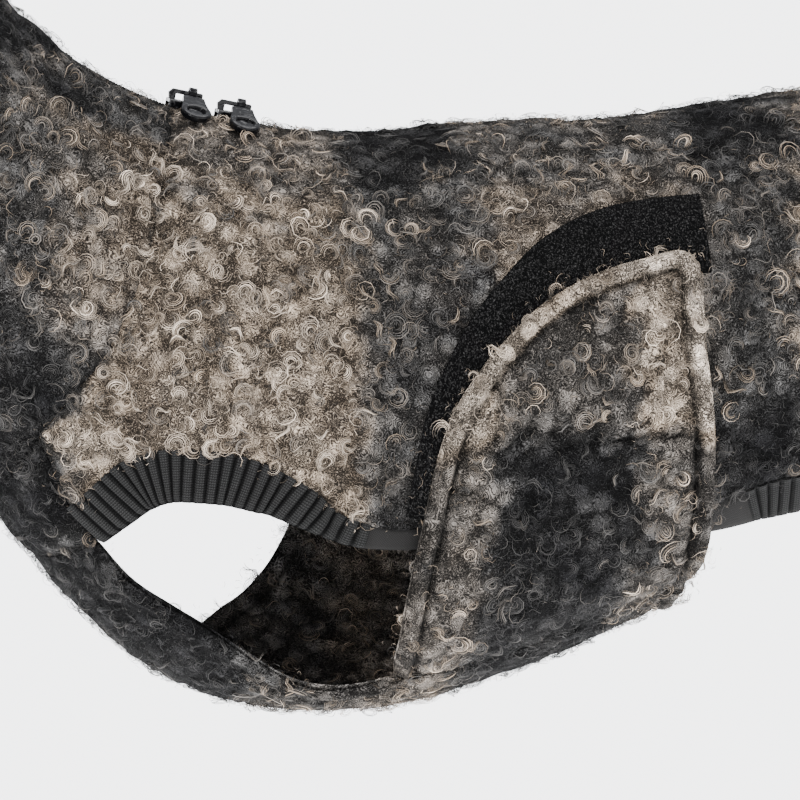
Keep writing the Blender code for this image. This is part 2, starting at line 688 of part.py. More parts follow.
def build_armhole_ribs():
    """Ribbed knit round the top of each armhole."""
    count = 2 * round(strip_length(None, RIB_STOP) / RIB_REPEAT) + 1
    seam, line, widths = trim_strip(None, RIB_STOP, count)
    grid = strip_rows(seam, line, widths, (0.0, 0.5, 1.0))
    high = np.broadcast_to(rib_heights(count)[:, None], grid.shape[:2])
    for side, places in (("left", grid), ("right", mirrored(grid))):
        wall("armhole_rib_" + side, [(places, RIB_INNER, high)], "rib_knit")


def build_bindings():
    """Smooth facing along each side edge of the back panel, between the two ribs."""
    gap = SEAM_GAP / STATION_LENGTH
    seam, line, widths = trim_strip(RIB_STOP + gap, HEM_RIB_START - gap, 15)
    grid = strip_rows(seam, line, widths, (0.0, 1.0))
    for side, places in (("left", grid), ("right", mirrored(grid))):
        wall("side_binding_" + side, [(places, RIB_INNER, BINDING_OUTER)], "facing")


def build_hem_rib():
    """One ribbed knit band along both rear side edges and round the tail end."""
    count = 2 * round(strip_length(HEM_RIB_START, None) / RIB_REPEAT) + 1
    seam, line, widths = trim_strip(HEM_RIB_START, None, count)
    grid = strip_rows(seam, line, widths, (0.0, 1.0))
    whole = np.concatenate([grid, mirrored(grid)[::-1][1:]])
    high = np.broadcast_to(rib_heights(len(whole))[:, None], whole.shape[:2])
    wall("hem_rib", [(whole, RIB_INNER, high)], "rib_knit")


def build_bands():
    """Loop side of the fastening: a curved band sewn on each side of the back panel."""
    outer = edge(BAND_EDGE, BAND_COLUMNS)
    inner = inset_line(outer, -BAND_WIDTH)
    middle = inset_line(outer, -BAND_WIDTH / 2)
    grid = np.stack([outer, middle, inner], axis=1)
    base = PILE_CLOTH + LAYER_GAP
    for side, places in (("left", grid), ("right", mirrored(grid))):
        wall("loop_band_" + side, [(places, base, base + BAND_THICKNESS)], "loop_tape")


def build_zip():
    """Zip tape under the cloth's edges with its closed chain standing up in the parting."""
    stations = np.linspace(ZIP_START, ZIP_END, ZIP_COLUMNS)
    first, last = ZIP_START + CHAIN_INSET, ZIP_END - CHAIN_INSET
    ends = smooth_step(stations, first, first + CHAIN_RISE)
    ends = ends * (1 - smooth_step(stations, last - CHAIN_RISE, last))
    shoulder = TAPE_TOP + CHAIN_SHOULDER
    chain_top = shoulder + (CHAIN_TOP - shoulder) * ends
    profile = (
        (-TAPE_HALF_WIDTH, TAPE_BOTTOM), (0.0, TAPE_BOTTOM), (TAPE_HALF_WIDTH, TAPE_BOTTOM),
        (TAPE_HALF_WIDTH, TAPE_TOP), (CHAIN_HALF_WIDTH, TAPE_TOP), (CHAIN_HALF_WIDTH, None),
        (-CHAIN_HALF_WIDTH, None), (-CHAIN_HALF_WIDTH, TAPE_TOP), (-TAPE_HALF_WIDTH, TAPE_TOP),
    )
    beside = np.column_stack([stations, np.full(ZIP_COLUMNS, BESIDE_CENTRE)])
    around = np.linalg.norm(slopes(beside)[1], axis=-1)
    rings = []
    for side, height in profile:
        place = np.column_stack([stations, side / around])
        offset = chain_top if height is None else np.full(ZIP_COLUMNS, height)
        rings.append(form(place) + outward(place) * offset[:, None])
    points = np.stack(rings, axis=1)
    sides = len(profile)
    faces = []
    for k in range(ZIP_COLUMNS - 1):
        for m in range(sides):
            n = (m + 1) % sides
            faces.append((k * sides + m, k * sides + n, (k + 1) * sides + n, (k + 1) * sides + m))
    last = (ZIP_COLUMNS - 1) * sides
    faces.append(tuple(range(sides)))
    faces.append(tuple(last + m for m in range(sides)))
    make_object("zip_tape", points.reshape(-1, 3), faces, "zip_tape")


# Metal pieces -------------------------------------------------------------------------------------

def extruded(name, outline, axis, low, high, material):
    """Solid from an outline of (first, second) pairs, extruded along an axis."""
    order = {"x": (2, 0, 1), "y": (0, 2, 1), "z": (0, 1, 2)}[axis]
    points = []
    for level in (low, high):
        for first, second in outline:
            values = (first, second, level)
            points.append(tuple(values[k] for k in order))
    count = len(outline)
    faces = [tuple(range(count)), tuple(range(count, 2 * count))]
    faces += [(k, (k + 1) % count, count + (k + 1) % count, count + k) for k in range(count)]
    return make_object(name, points, faces, material)


def joined(body, others, operation="UNION"):
    """Boolean of a body with others, which stay as hidden guides."""
    for other in others:
        other.hide_render = True
        other.display_type = "WIRE"
        cut = body.modifiers.new(other.name, "BOOLEAN")
        cut.operation = operation
        cut.solver = "EXACT"
        cut.object = other
    return body


def build_slider(which, station, tilt):
    """Slider on the closed chain: a plate with side flanges and a bridge that holds the pull."""
    half = PLATE_WIDTH / 2
    plate = ((-half, -FLANGE_DROP), (-half + FLANGE_WIDTH, -FLANGE_DROP), (-half + FLANGE_WIDTH, 0.0),
             (half - FLANGE_WIDTH, 0.0), (half - FLANGE_WIDTH, -FLANGE_DROP), (half, -FLANGE_DROP),
             (half, PLATE_THICKNESS * 0.6), (half - EDGE_BEVEL, PLATE_THICKNESS),
             (-half + EDGE_BEVEL, PLATE_THICKNESS), (-half, PLATE_THICKNESS * 0.6))
    body = extruded("slider_" + which, plate, "x", -PLATE_LENGTH / 2, PLATE_LENGTH / 2, "black_metal")
    axis = PLATE_THICKNESS + BAR_HEIGHT
    top = axis + BAR_HALF
    under = axis - BAR_HALF
    sunk = PLATE_THICKNESS * 0.5
    end = CROWN_HALF_LENGTH
    foot = end - CROWN_CORNER
    crown = ((-foot, sunk), (-end + FRONT_POST, sunk), (-end + FRONT_POST, under),
             (end - REAR_POST, under), (end - REAR_POST, sunk), (foot, sunk), (foot, PLATE_THICKNESS),
             (end, under), (end, top - CROWN_CORNER), (foot, top),
             (-end + CROWN_SLOPE, top), (-end, under), (-foot, PLATE_THICKNESS))
    bridge = extruded("bridge_guide_" + which, crown, "y", -BAR_HALF, BAR_HALF, "black_metal")
    joined(body, [bridge])
    place = np.array([station, 0.0])
    seat = form(place) + outward(place) * (CHAIN_TOP + PLATE_CLEARANCE)
    frame = Matrix.Translation(Vector(seat)) @ Matrix.Rotation(math.radians(tilt), 4, "Y")
    body.matrix_world = frame
    bridge.matrix_world = frame
    return frame


def pull_outline():
    """Outline of the pull from its loop out to its round end, seen flat, with +Y toward the loop."""
    angles = np.linspace(math.pi, 2 * math.pi, PULL_SIDES // 2 + 1)
    arc = [(PULL_RADIUS * math.cos(a), -PULL_REACH + PULL_RADIUS * math.sin(a)) for a in angles]
    neck = [(PULL_NECK, -NECK_END), (PULL_NECK - NECK_TAPER, -SHOULDER), (LOOP_WIDTH / 2, -THROAT),
            (LOOP_WIDTH / 2, -THROAT_TOP)]
    other = [(-x, y) for x, y in reversed(neck)]
    return arc + neck + other


def disc(name, radius, low, high, centre, material):
    """Short round solid standing along Z."""
    angles = np.linspace(0, 2 * math.pi, PULL_SIDES, endpoint=False)
    outline = [(radius * math.cos(a), centre + radius * RECESS_OVAL * math.sin(a)) for a in angles]
    return extruded(name, outline, "z", low, high, material)


def build_pull(which, frame, lie):
    """Pull tab that hangs by its loop on the slider's bridge and lies over on the left side."""
    half = PULL_THICKNESS / 2
    body = extruded("pull_" + which, pull_outline(), "z", -half, half, "black_metal")
    dishes = []
    for side in (-1, 1):
        deep, clear = side * (half - RECESS_DEPTH), side * (half + 1.0 * MM)
        dishes.append(disc(f"dish_guide_{which}_{side + 1}", RECESS_RADIUS, min(deep, clear),
                           max(deep, clear), -PULL_REACH, "black_metal"))
    angles = np.linspace(0, 2 * math.pi, ROUND_SIDES, endpoint=False) + math.pi / ROUND_SIDES
    eye = [(LOOP_OUTER * math.cos(a), LOOP_OUTER * math.sin(a)) for a in angles]
    hole = [(LOOP_INNER * math.cos(a), LOOP_INNER * math.sin(a)) for a in angles]
    loop = extruded("loop_guide_" + which, eye, "x", -LOOP_WIDTH / 2, LOOP_WIDTH / 2, "black_metal")
    bore = extruded("bore_guide_" + which, hole, "x", -LOOP_WIDTH, LOOP_WIDTH, "black_metal")
    joined(body, [loop])
    joined(body, dishes + [bore], "DIFFERENCE")
    axis = Vector((LOOP_CENTRE, 0.0, PLATE_THICKNESS + BAR_HEIGHT))
    place = frame @ Matrix.Translation(axis) @ Matrix.Rotation(math.radians(lie), 4, "X")
    for piece in [body, loop, bore] + dishes:
        piece.matrix_world = place


def main():
    """Build every piece of the coat."""
    clear_objects()
    build_back()
    build_neck()
    build_belly()
    build_armhole_ribs()
    build_bindings()
    build_hem_rib()
    build_bands()
    build_zip()
    for which, station, tilt, lie in SLIDERS:
        frame = build_slider(which, station, tilt)
        build_pull(which, frame, lie)


main()
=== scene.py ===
"""Looks of a wrap coat in curled wool check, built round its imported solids.

Metres, +Z up; the neck opening points toward -X and the tail end toward +X; the coat's left is at -Y.

Every cloth piece follows one worn form. A place on it is a pair of numbers:
  station  which cross-section, from the neck opening (0) to the hem over the tail (14);
  share    how far round the girth: 0 on the back's centre line, 1 on the belly's, 2 back again.
"""

import logging
import math
from dataclasses import dataclass, field
from enum import Enum
from typing import Callable, Optional, Sequence, Union

import bpy
import numpy as np
from mathutils import Matrix, Vector

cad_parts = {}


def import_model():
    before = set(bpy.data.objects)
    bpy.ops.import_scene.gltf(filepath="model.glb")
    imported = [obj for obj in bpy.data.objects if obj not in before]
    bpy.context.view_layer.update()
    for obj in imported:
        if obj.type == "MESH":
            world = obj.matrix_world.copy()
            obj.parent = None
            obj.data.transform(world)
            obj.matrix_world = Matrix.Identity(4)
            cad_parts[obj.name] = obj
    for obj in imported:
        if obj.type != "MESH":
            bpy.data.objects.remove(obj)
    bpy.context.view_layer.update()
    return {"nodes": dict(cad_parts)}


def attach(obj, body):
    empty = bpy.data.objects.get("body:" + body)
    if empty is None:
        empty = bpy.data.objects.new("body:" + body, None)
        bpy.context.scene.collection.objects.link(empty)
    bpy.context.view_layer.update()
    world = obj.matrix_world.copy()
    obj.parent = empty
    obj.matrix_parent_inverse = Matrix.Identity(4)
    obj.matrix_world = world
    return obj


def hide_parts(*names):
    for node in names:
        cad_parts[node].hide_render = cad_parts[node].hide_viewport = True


Array = np.ndarray
Number = Union[float, "Wire"]
LOG = logging.getLogger("coat")
MM = 0.001
SAME_PLACE = 20000      # places are one where both numbers agree to this part of one
SEED = 20


def smooth_step(value: Array, start: float, stop: float) -> Array:
    """0 before start, 1 after stop, and an easy curve between."""
    t = np.clip((value - start) / (stop - start), 0.0, 1.0)
    return t * t * (3 - 2 * t)


def cubic(t: Array, start: Array, leave: Array, stop: Array, arrive: Array) -> Array:
    """Smooth curve from start to stop while t runs from 0 to 1.

    Args:
        t: where on the curve.
        start, stop: values at its ends.
        leave, arrive: slopes at its ends.
    Returns:
        The cubic with those values and slopes.
    """
    return ((2 * t**3 - 3 * t**2 + 1) * start + (t**3 - 2 * t**2 + t) * leave
            + (3 * t**2 - 2 * t**3) * stop + (t**3 - t**2) * arrive)


def quarter_round(distance: Array, radius: float) -> Array:
    """Height of a rounded edge: 0 on the edge, then a quarter of a circle up to 1 at the radius."""
    return np.sqrt(np.clip(1 - (1 - np.clip(distance / radius, 0, 1)) ** 2, 0, 1))


def unit(vectors: Array) -> Array:
    """Vectors scaled to length one."""
    return vectors / np.maximum(np.linalg.norm(vectors, axis=-1, keepdims=True), 1e-12)


def from_back(share: Array) -> Array:
    """Shares counted from the back's centre line down either side."""
    share = np.mod(share, 2.0)
    return np.where(share > 1, 2 - share, share)


def mirrored(place: Array) -> Array:
    """The same places on the other side of the back's centre line."""
    return place * (1, -1)


def opposite(place: Array) -> Array:
    """The same places on the other side, with shares counted on past the belly's centre line."""
    return place * (1, -1) + (0, 2)


class Side(Enum):
    """The two sides of the coat."""

    LEFT = "left"
    RIGHT = "right"

    def turned(self, place: Array) -> Array:
        """Places worked out for the left side, moved to this one."""
        return place if self is Side.LEFT else mirrored(place)


# The worn form ----------

@dataclass(frozen=True)
class Crease:
    """A soft trough of the cloth, or a ridge where its depth is below zero.

    lean is its angle in degrees from the run toward the tail; the last three are in millimetres.
    """

    station: float
    share: float
    lean: float
    length: float
    width: float
    depth: float


SECTION_COLUMNS = ("back_x", "back_z", "belly_x", "belly_z", "half_width", "widest", "crown")
SECTIONS = (
    (-150, 87, -242, -8, 54, 0.50, 1.00),
    (-118, 51, -196, -62, 56, 0.50, 1.00),
    (-84, 26, -158, -100, 59, 0.52, 1.05),
    (-52, 11, -128, -136, 64, 0.54, 1.15),
    (-24, 4, -101, -170, 71, 0.54, 1.15),
    (0, 0, -60, -209, 77, 0.52, 1.10),
    (28, -1, -16, -226, 80, 0.50, 1.05),
    (56, -1, 28, -228, 81, 0.48, 1.00),
    (92, 0, 76, -217, 81, 0.48, 1.00),
    (128, 0, 124, -199, 80, 0.48, 1.00),
    (160, 4, 168, -182, 78, 0.48, 1.00),
    (200, 9, 212, -168, 76, 0.48, 1.00),
    (260, 13, 268, -160, 76, 0.48, 1.00),
    (330, 10, 334, -160, 76, 0.48, 1.00),
    (401, -6, 401, -168, 70, 0.48, 1.00),
)
CREASES = tuple(Crease(*row) for row in (
    (4.55, 0.40, 20, 60, 14, 1.6), (5.60, 0.46, -25, 50, 12, 1.8), (2.40, 0.36, 75, 55, 13, 1.5),
    (1.55, 0.62, 80, 50, 13, 1.6), (10.60, 0.50, 60, 55, 14, 1.7), (12.10, 0.40, 70, 60, 16, 1.6),
    (5.00, 1.52, 15, 55, 13, 1.7), (2.10, 1.60, 100, 55, 13, 1.5), (11.00, 1.55, 115, 60, 15, 1.7),
    (5.80, 0.575, 60, 26, 7, 1.8), (5.35, 0.50, 75, 30, 8, -1.0), (3.40, 0.66, 40, 34, 9, 1.5),
    (2.75, 0.20, 88, 36, 9, 1.1), (1.00, 0.30, 65, 40, 11, -1.0), (8.60, 0.16, -8, 48, 12, 1.0),
    (10.90, 0.24, 14, 40, 10, 0.9), (13.00, 0.30, 80, 34, 9, 1.1), (5.70, 1.44, 30, 42, 11, 1.4),
    (3.30, 1.38, 145, 38, 9, 1.3), (1.20, 1.42, 75, 46, 12, 1.2), (12.40, 1.46, 95, 44, 12, 1.3),
    (9.90, 1.66, -12, 50, 12, 1.1), (6.80, 1.02, 82, 40, 12, 1.2), (4.60, 1.05, 70, 30, 10, -0.8),
))


class WornForm:
    """The shape that the worn cloth follows, kept as a fine table over station and share."""

    station_steps: int = 32
    share_steps: int = 160
    angle_steps: int = 97
    ridge: float = 3.5 * MM
    ridge_width: float = 9.0 * MM
    ridge_rises: tuple = (0.6, 2.2)
    ridge_falls: tuple = (5.6, 7.4)

    def __init__(self) -> None:
        """Work out the table of points, then of outward directions and slopes."""
        last = len(SECTIONS) - 1
        self.rows = np.array(SECTIONS, float)
        self.rows[:, :5] *= MM
        stations = np.linspace(0, last, last * self.station_steps + 1)
        half = self._half_rings(stations)
        other = half[:, -2::-1] * (1, -1, 1)
        self.points = np.concatenate([half, other], axis=1)
        self._differentiate()
        self.points = self.points - self.normals * self._creases()[..., None]
        self._differentiate()

    def _section(self, station: Array) -> Array:
        """Section values between the rows: a smooth cubic through every column."""
        last = len(self.rows) - 1
        low = np.clip(np.floor(station).astype(int), 0, last - 1)
        before, here = self.rows[np.maximum(low - 1, 0)], self.rows[low]
        there, after = self.rows[low + 1], self.rows[np.minimum(low + 2, last)]
        return cubic((station - low)[:, None], here, (there - before) / 2, there, (after - here) / 2)

    def _half_rings(self, station: Array) -> Array:
        """Left half of each section at even lengths from back to belly.

        At angle a a point lies half_width * sin(a) to the left. Its level between back and belly is
        widest * (1 - cos(a)^crown) above the widest place and widest + (1 - widest) * |cos(a)| below
        it. Beside the zip's ridge the cloth sinks by the ridge's height.

        Args:
            station: where the sections are.
        Returns:
            Points as (station, share, xyz).
        """
        value = dict(zip(SECTION_COLUMNS, self._section(station).T[..., None]))
        angle = np.linspace(0.0, math.pi, self.angle_steps)
        cosine = np.abs(np.cos(angle))
        above = value["widest"] * (1 - cosine ** value["crown"])
        below = value["widest"] + (1 - value["widest"]) * cosine
        level = np.where(angle <= math.pi / 2, above, below)
        across = value["half_width"] * np.sin(angle)
        x = value["back_x"] * (1 - level) + value["belly_x"] * level
        z = value["back_z"] * (1 - level) + value["belly_z"] * level
        along_zip = smooth_step(station, *self.ridge_rises) * (1 - smooth_step(station, *self.ridge_falls))
        bulge = 1 - np.exp(-(across / self.ridge_width) ** 2)
        z = z - self.ridge * along_zip[:, None] * bulge * (1 - level)
        rings = np.stack([x, -across, z], axis=-1)
        steps = np.linalg.norm(np.diff(rings, axis=1), axis=2)
        lengths = np.pad(np.cumsum(steps, axis=1), ((0, 0), (1, 0)))
        lengths /= lengths[:, -1:]
        wanted = np.linspace(0, 1, self.share_steps + 1)
        low = (lengths[:, :, None] <= wanted).sum(axis=1) - 1
        low = np.clip(low, 0, len(angle) - 2)
        row = np.arange(len(station))[:, None]
        part = ((wanted - lengths[row, low]) / (lengths[row, low + 1] - lengths[row, low]))[..., None]
        return rings[row, low] * (1 - part) + rings[row, low + 1] * part

    def _differentiate(self) -> None:
        """Slopes of the table per station and per share, and the outward directions."""
        self.along = np.gradient(self.points, 1 / self.station_steps, axis=0)
        ring = np.concatenate([self.points[:, -2:-1], self.points, self.points[:, 1:2]], axis=1)
        self.around = (ring[:, 2:] - ring[:, :-2]) * (self.share_steps / 2)
        self.normals = unit(np.cross(self.around, self.along))

    def _creases(self) -> Array:
        """Inward depth over the table: each crease is a long bell with rounded ends."""
        depth = np.zeros(self.points.shape[:2])
        for crease in CREASES:
            i = round(crease.station * self.station_steps)
            j = round(crease.share * self.share_steps)
            turn = math.radians(crease.lean)
            run = unit(self.along[i, j]) * math.cos(turn) + unit(self.around[i, j]) * math.sin(turn)
            offset = self.points - self.points[i, j]
            lengthwise = offset @ run
            sideways = np.linalg.norm(offset - lengthwise[..., None] * run, axis=-1)
            reach = (lengthwise / (crease.length * MM)) ** 2 + (sideways / (crease.width * MM)) ** 2
            depth += crease.depth * MM * np.exp(-reach * 2)
        return depth

    def look_up(self, table: Array, place: Array) -> Array:
        """A table's values at places, linear between its entries.

        Args:
            table: one of the form's tables.
            place: array whose last axis holds station and share.
        Returns:
            Array of the places' shape with the table's values on its last axis.
        """
        u = np.clip(place[..., 0], 0, len(SECTIONS) - 1 - 1e-9) * self.station_steps
        v = np.mod(place[..., 1], 2.0) * self.share_steps
        i, j = u.astype(int), np.minimum(v.astype(int), 2 * self.share_steps - 1)
        s, t = (u - i)[..., None], (v - j)[..., None]
        return ((table[i, j] * (1 - t) + table[i, j + 1] * t) * (1 - s)
                + (table[i + 1, j] * (1 - t) + table[i + 1, j + 1] * t) * s)

    def at(self, place: Array, offset: Union[Array, float] = 0.0) -> Array:
        """Points at places, moved out by an offset."""
        lift = np.asarray(offset, float)[..., None]
        return self.look_up(self.points, place) + self.outward(place) * lift

    def outward(self, place: Array) -> Array:
        """Unit directions out of the form at places."""
        return unit(self.look_up(self.normals, place))

    def walk(self, place: Array, step: Array) -> Array:
        """Places reached from others by short steps along the surface.

        Args:
            place: starting places.
            step: vectors in metres, one for each place.
        Returns:
            The new places, by solving the two slopes for the step.
        """
        along, around = self.look_up(self.along, place), self.look_up(self.around, place)
        aa, bb = (along * along).sum(-1), (around * around).sum(-1)
        ab = (along * around).sum(-1)
        sa, sb = (step * along).sum(-1), (step * around).sum(-1)
        det = np.maximum(aa * bb - ab * ab, 1e-12)
        return place + np.stack([(sa * bb - sb * ab) / det, (sb * aa - sa * ab) / det], axis=-1)

    def girth(self, place: Array) -> Array:
        """Length round the section from the back's centre line to places, in metres."""
        share = from_back(place[..., 1])
        middle = np.stack([place[..., 0], np.full_like(share, 0.5)], axis=-1)
        return share * np.linalg.norm(self.look_up(self.around, middle), axis=-1)

    def slope_round(self, place: Array) -> Array:
        """Length round the section for one share, in metres, at places."""
        return np.linalg.norm(self.look_up(self.around, place), axis=-1)


# Lines and grids of places ----------

class Lines:
    """Smooth lines through short tables of places."""

    station_length: float = 40 * MM
    share_length: float = 280 * MM

    def __init__(self, form: WornForm) -> None:
        """Keep the form whose lengths the lines are measured on."""
        self.form = form

    def smooth(self, rows: Sequence[Sequence[float]], per_span: int = 16) -> Array:
        """Dense smooth line through rows, with tangents that allow for uneven spacing.

        Args:
            rows: station, share and any further values of the line's points.
            per_span: steps between two of them.
        Returns:
            The line's points, with the rows' columns.
        """
        table = np.array(rows, float)
        scaled = table[:, :2] * (self.station_length, self.share_length)
        gaps = np.sqrt(np.linalg.norm(np.diff(scaled, axis=0), axis=1))[:, None]
        rates = np.diff(table, axis=0) / gaps
        tangents = np.empty_like(table)
        tangents[0], tangents[-1] = rates[0], rates[-1]
        inner = rates[:-1] * gaps[1:] + rates[1:] * gaps[:-1]
        tangents[1:-1] = inner / (gaps[1:] + gaps[:-1])
        t = np.linspace(0, 1, per_span, endpoint=False)[None, :, None]
        dense = cubic(t, table[:-1, None], tangents[:-1, None] * gaps[:, None],
                      table[1:, None], tangents[1:, None] * gaps[:, None])
        return np.concatenate([dense.reshape(-1, table.shape[1]), table[-1:]])

    def lengths(self, line: Array) -> Array:
        """Length on the form from a line's start to each of its points."""
        steps = np.linalg.norm(np.diff(self.form.at(line[:, :2]), axis=0), axis=1)
        return np.concatenate([[0.0], np.cumsum(steps)])

    def cut(self, line: Array, fractions: Array) -> Array:
        """A line's points at fractions of its length on the cloth."""
        lengths = self.lengths(line)
        wanted = np.asarray(fractions) * lengths[-1]
        return np.column_stack([np.interp(wanted, lengths, column) for column in line.T])

    def inset(self, line: Array, distance: Union[Array, float]) -> Array:
        """A line moved sideways on the cloth, to the left of its direction seen from outside."""
        run = unit(np.gradient(self.form.at(line), axis=0))
        side = np.cross(self.form.outward(line), run)
        return self.form.walk(line, side * np.broadcast_to(distance, len(line))[:, None])


def filled(front: Array, rear: Array, top: Array, bottom: Array, p: Array, q: Array) -> Array:
    """Grid between four edges: the sum of both straight blends less the blend of the corners.

    Args:
        front, rear: edges across, at the fractions q.
        top, bottom: edges along, at the fractions p.
        p, q: fractions of the rows and of the columns.
    Returns:
        Places with one row for each p and one column for each q.
    """
    p, q = p[:, None, None], q[None, :, None]
    between = (1 - q) * top[:, None] + q * bottom[:, None] + (1 - p) * front[None] + p * rear[None]
    corners = ((1 - p) * (1 - q) * top[0] + p * (1 - q) * top[-1]
               + (1 - p) * q * bottom[0] + p * q * bottom[-1])
    return between - corners

RIM_STEPS = (0.5, 1.4, 2.8)    # millimetres from a rounded rim
RIM_GAP = 1.4                  # even steps stop this many times the last one away


def rimmed(length: float, step: float, start: bool = True) -> Array:
    """Fractions of a length at even steps, with closer ones beside an end that has a rounded rim.

    Args:
        length: the whole length in metres.
        step: size of the even steps.
        start: whether the first end has a rim too, as the last one has.
    Returns:
        Rising fractions from 0 to 1.
    """
    near = np.array(RIM_STEPS) * MM / length
    even = np.linspace(0, 1, max(2, round(length / step)) + 1)[1:-1]
    edge = near[-1] * RIM_GAP
    even = even[(even > (edge if start else 0)) & (even < 1 - edge)]
    return np.concatenate([[0.0], near if start else near[:0], even, 1 - near[::-1], [1.0]])


@dataclass
class Patch:
    """A grid of places with the offsets of the cloth's inner and outer face."""

    places: Array
    low: Array
    high: Array

    def spread(self, values: Array) -> Array:
        """Values as a full grid."""
        return np.broadcast_to(values, self.places.shape[:2]).astype(float)


# Meshes ----------

class MeshMaker:
    """Puts whole arrays into Blender meshes."""

    @staticmethod
    def make(name: str, points: Array, quads: Array, material: bpy.types.Material,
             uv: Array = None, tone: Array = None) -> bpy.types.Object:
        """Mesh object at the origin.

        Args:
            name: the piece's name.
            points: vertices in metres.
            quads: vertex numbers, four to a row.
            material: the piece's finish.
            uv: one pair for each vertex, written to every corner.
            tone: one colour for each vertex.
        Returns:
            The linked object, smooth shaded.
        """
        mesh = bpy.data.meshes.new(name)
        mesh.vertices.add(len(points))
        mesh.vertices.foreach_set("co", np.asarray(points, np.float32).ravel())
        mesh.loops.add(quads.size)
        mesh.loops.foreach_set("vertex_index", quads.astype(np.int32).ravel())
        mesh.polygons.add(len(quads))
        mesh.polygons.foreach_set("loop_start", np.arange(0, quads.size, 4, dtype=np.int32))
        mesh.update(calc_edges=True)
        mesh.shade_smooth()
        if uv is not None:
            layer = mesh.uv_layers.new(name="cloth")
            layer.data.foreach_set("uv", np.asarray(uv, np.float32)[quads.ravel()].ravel())
        if tone is not None:
            full = np.column_stack([tone, np.ones(len(tone))]).astype(np.float32)
            mesh.color_attributes.new("tone", "FLOAT_COLOR", "POINT").data.foreach_set("color", full.ravel())
        mesh.materials.append(material)
        made = bpy.data.objects.new(name, mesh)
        bpy.context.scene.collection.objects.link(made)
        return made

    @staticmethod
    def grid_quads(rows: int, columns: int, first: int = 0) -> Array:
        """Quads of a grid whose points are numbered row by row from first."""
        i, j = np.meshgrid(np.arange(rows - 1), np.arange(columns - 1), indexing="ij")
        a = first + (i * columns + j).ravel()
        return np.stack([a, a + 1, a + columns + 1, a + columns], axis=1)

    @staticmethod
    def face_out(points: Array, quads: Array) -> Array:
        """Quads of a closed mesh turned round if its signed volume is below zero."""
        a, b, c, d = (points[quads[:, k]] for k in range(4))
        volume = (np.cross(b - a, c - a) * a).sum() + (np.cross(c - a, d - a) * a).sum()
        return quads if volume > 0 else quads[:, ::-1]


@dataclass
class Shell:
    """Thin closed shell of cloth over patches that share edges."""

    form: WornForm
    patches: Sequence[Patch]
    inner_painted_fill: float = 1.8
    places: Array = field(init=False)
    quads: Array = field(init=False)
    keep: Array = field(init=False)

    def __post_init__(self) -> None:
        """Merge the patches' equal places, keeping the first of each."""
        quads, first = [], 0
        for patch in self.patches:
            rows, columns = patch.places.shape[:2]
            quads.append(MeshMaker.grid_quads(rows, columns, first))
            first += rows * columns
        everything = np.concatenate([patch.places.reshape(-1, 2) for patch in self.patches])
        keys = np.round(everything * SAME_PLACE).astype(np.int64)
        _, self.keep, index = np.unique(keys, axis=0, return_index=True, return_inverse=True)
        self.places = everything[self.keep]
        self.quads = index.reshape(-1)[np.concatenate(quads)]

    def gathered(self, grids: Sequence[Array]) -> Array:
        """One value for each merged place, from a grid of values for each patch."""
        flat = [patch.spread(grid).ravel() for patch, grid in zip(self.patches, grids)]
        return np.concatenate(flat)[self.keep]

    def build(self, name: str, material: bpy.types.Material, tone: Array = None,
              uv: Array = None) -> bpy.types.Object:
        """Both faces and the rims between them as one closed mesh.

        Args:
            name: the piece's name.
            material: its finish.
            tone: a colour for each merged place; the inner face gets it brighter as painted fill light,
                since it lies in shade.
            uv: cloth coordinates of the merged places, or None for metres toward the tail and round.
        Returns:
            The object.
        """
        inner = self.form.at(self.places, self.gathered([patch.low for patch in self.patches]))
        outer = self.form.at(self.places, self.gathered([patch.high for patch in self.patches]))
        count = len(self.places)
        sides = np.concatenate([self.quads[:, [k, (k + 1) % 4]] for k in range(4)])
        _, index, uses = np.unique(np.sort(sides, axis=1), axis=0, return_index=True, return_counts=True)
        rim = sides[index[uses == 1]]
        rims = np.stack([rim[:, 1], rim[:, 0], rim[:, 0] + count, rim[:, 1] + count], axis=1)
        quads = np.concatenate([self.quads[:, ::-1], self.quads + count, rims])
        points = np.concatenate([inner, outer])
        if uv is None:
            uv = np.column_stack([outer[:, 0], self.form.girth(self.places)])
        if tone is not None:
            # painted fill light: the inner face's tone is made brighter because it lies in shade
            tone = np.concatenate([tone * self.inner_painted_fill, tone])
        return MeshMaker.make(name, points, MeshMaker.face_out(points, quads), material,
                              np.concatenate([uv, uv]), tone)


# Shader writing ----------

def math_node(operation: str, turned: bool = False) -> Callable:
    """A method of Wire that adds one Math node over its own value and others, turned round if asked."""
    def method(self: "Wire", *others: Number) -> "Wire":
        """The node's result."""
        values = (*others, self) if turned else (self, *others)
        return self.graph.node("ShaderNodeMath", {"operation": operation}, dict(enumerate(values)))

    return method


class Wire:
    """A node's output in an expression."""

    __add__ = __radd__ = math_node("ADD")
    __sub__, __rsub__ = math_node("SUBTRACT"), math_node("SUBTRACT", turned=True)
    __mul__ = __rmul__ = math_node("MULTIPLY")
    sine, size = math_node("SINE"), math_node("ABSOLUTE")

    def __init__(self, graph: "Graph", socket: bpy.types.NodeSocket) -> None:
        """Keep the graph and the output."""
        self.graph, self.socket = graph, socket

    def stripes(self) -> "Wire":
        """Even stripes from 0 to 1, one for each full turn in radians."""
        return self.sine() * 0.5 + 0.5

    def between(self, start: float, stop: float) -> "Wire":
        """0 to 1 from start to stop, easing."""
        inputs = {"Value": self, "From Min": start, "From Max": stop}
        return self.graph.node("ShaderNodeMapRange", {"interpolation_type": "SMOOTHSTEP"}, inputs, "Result")


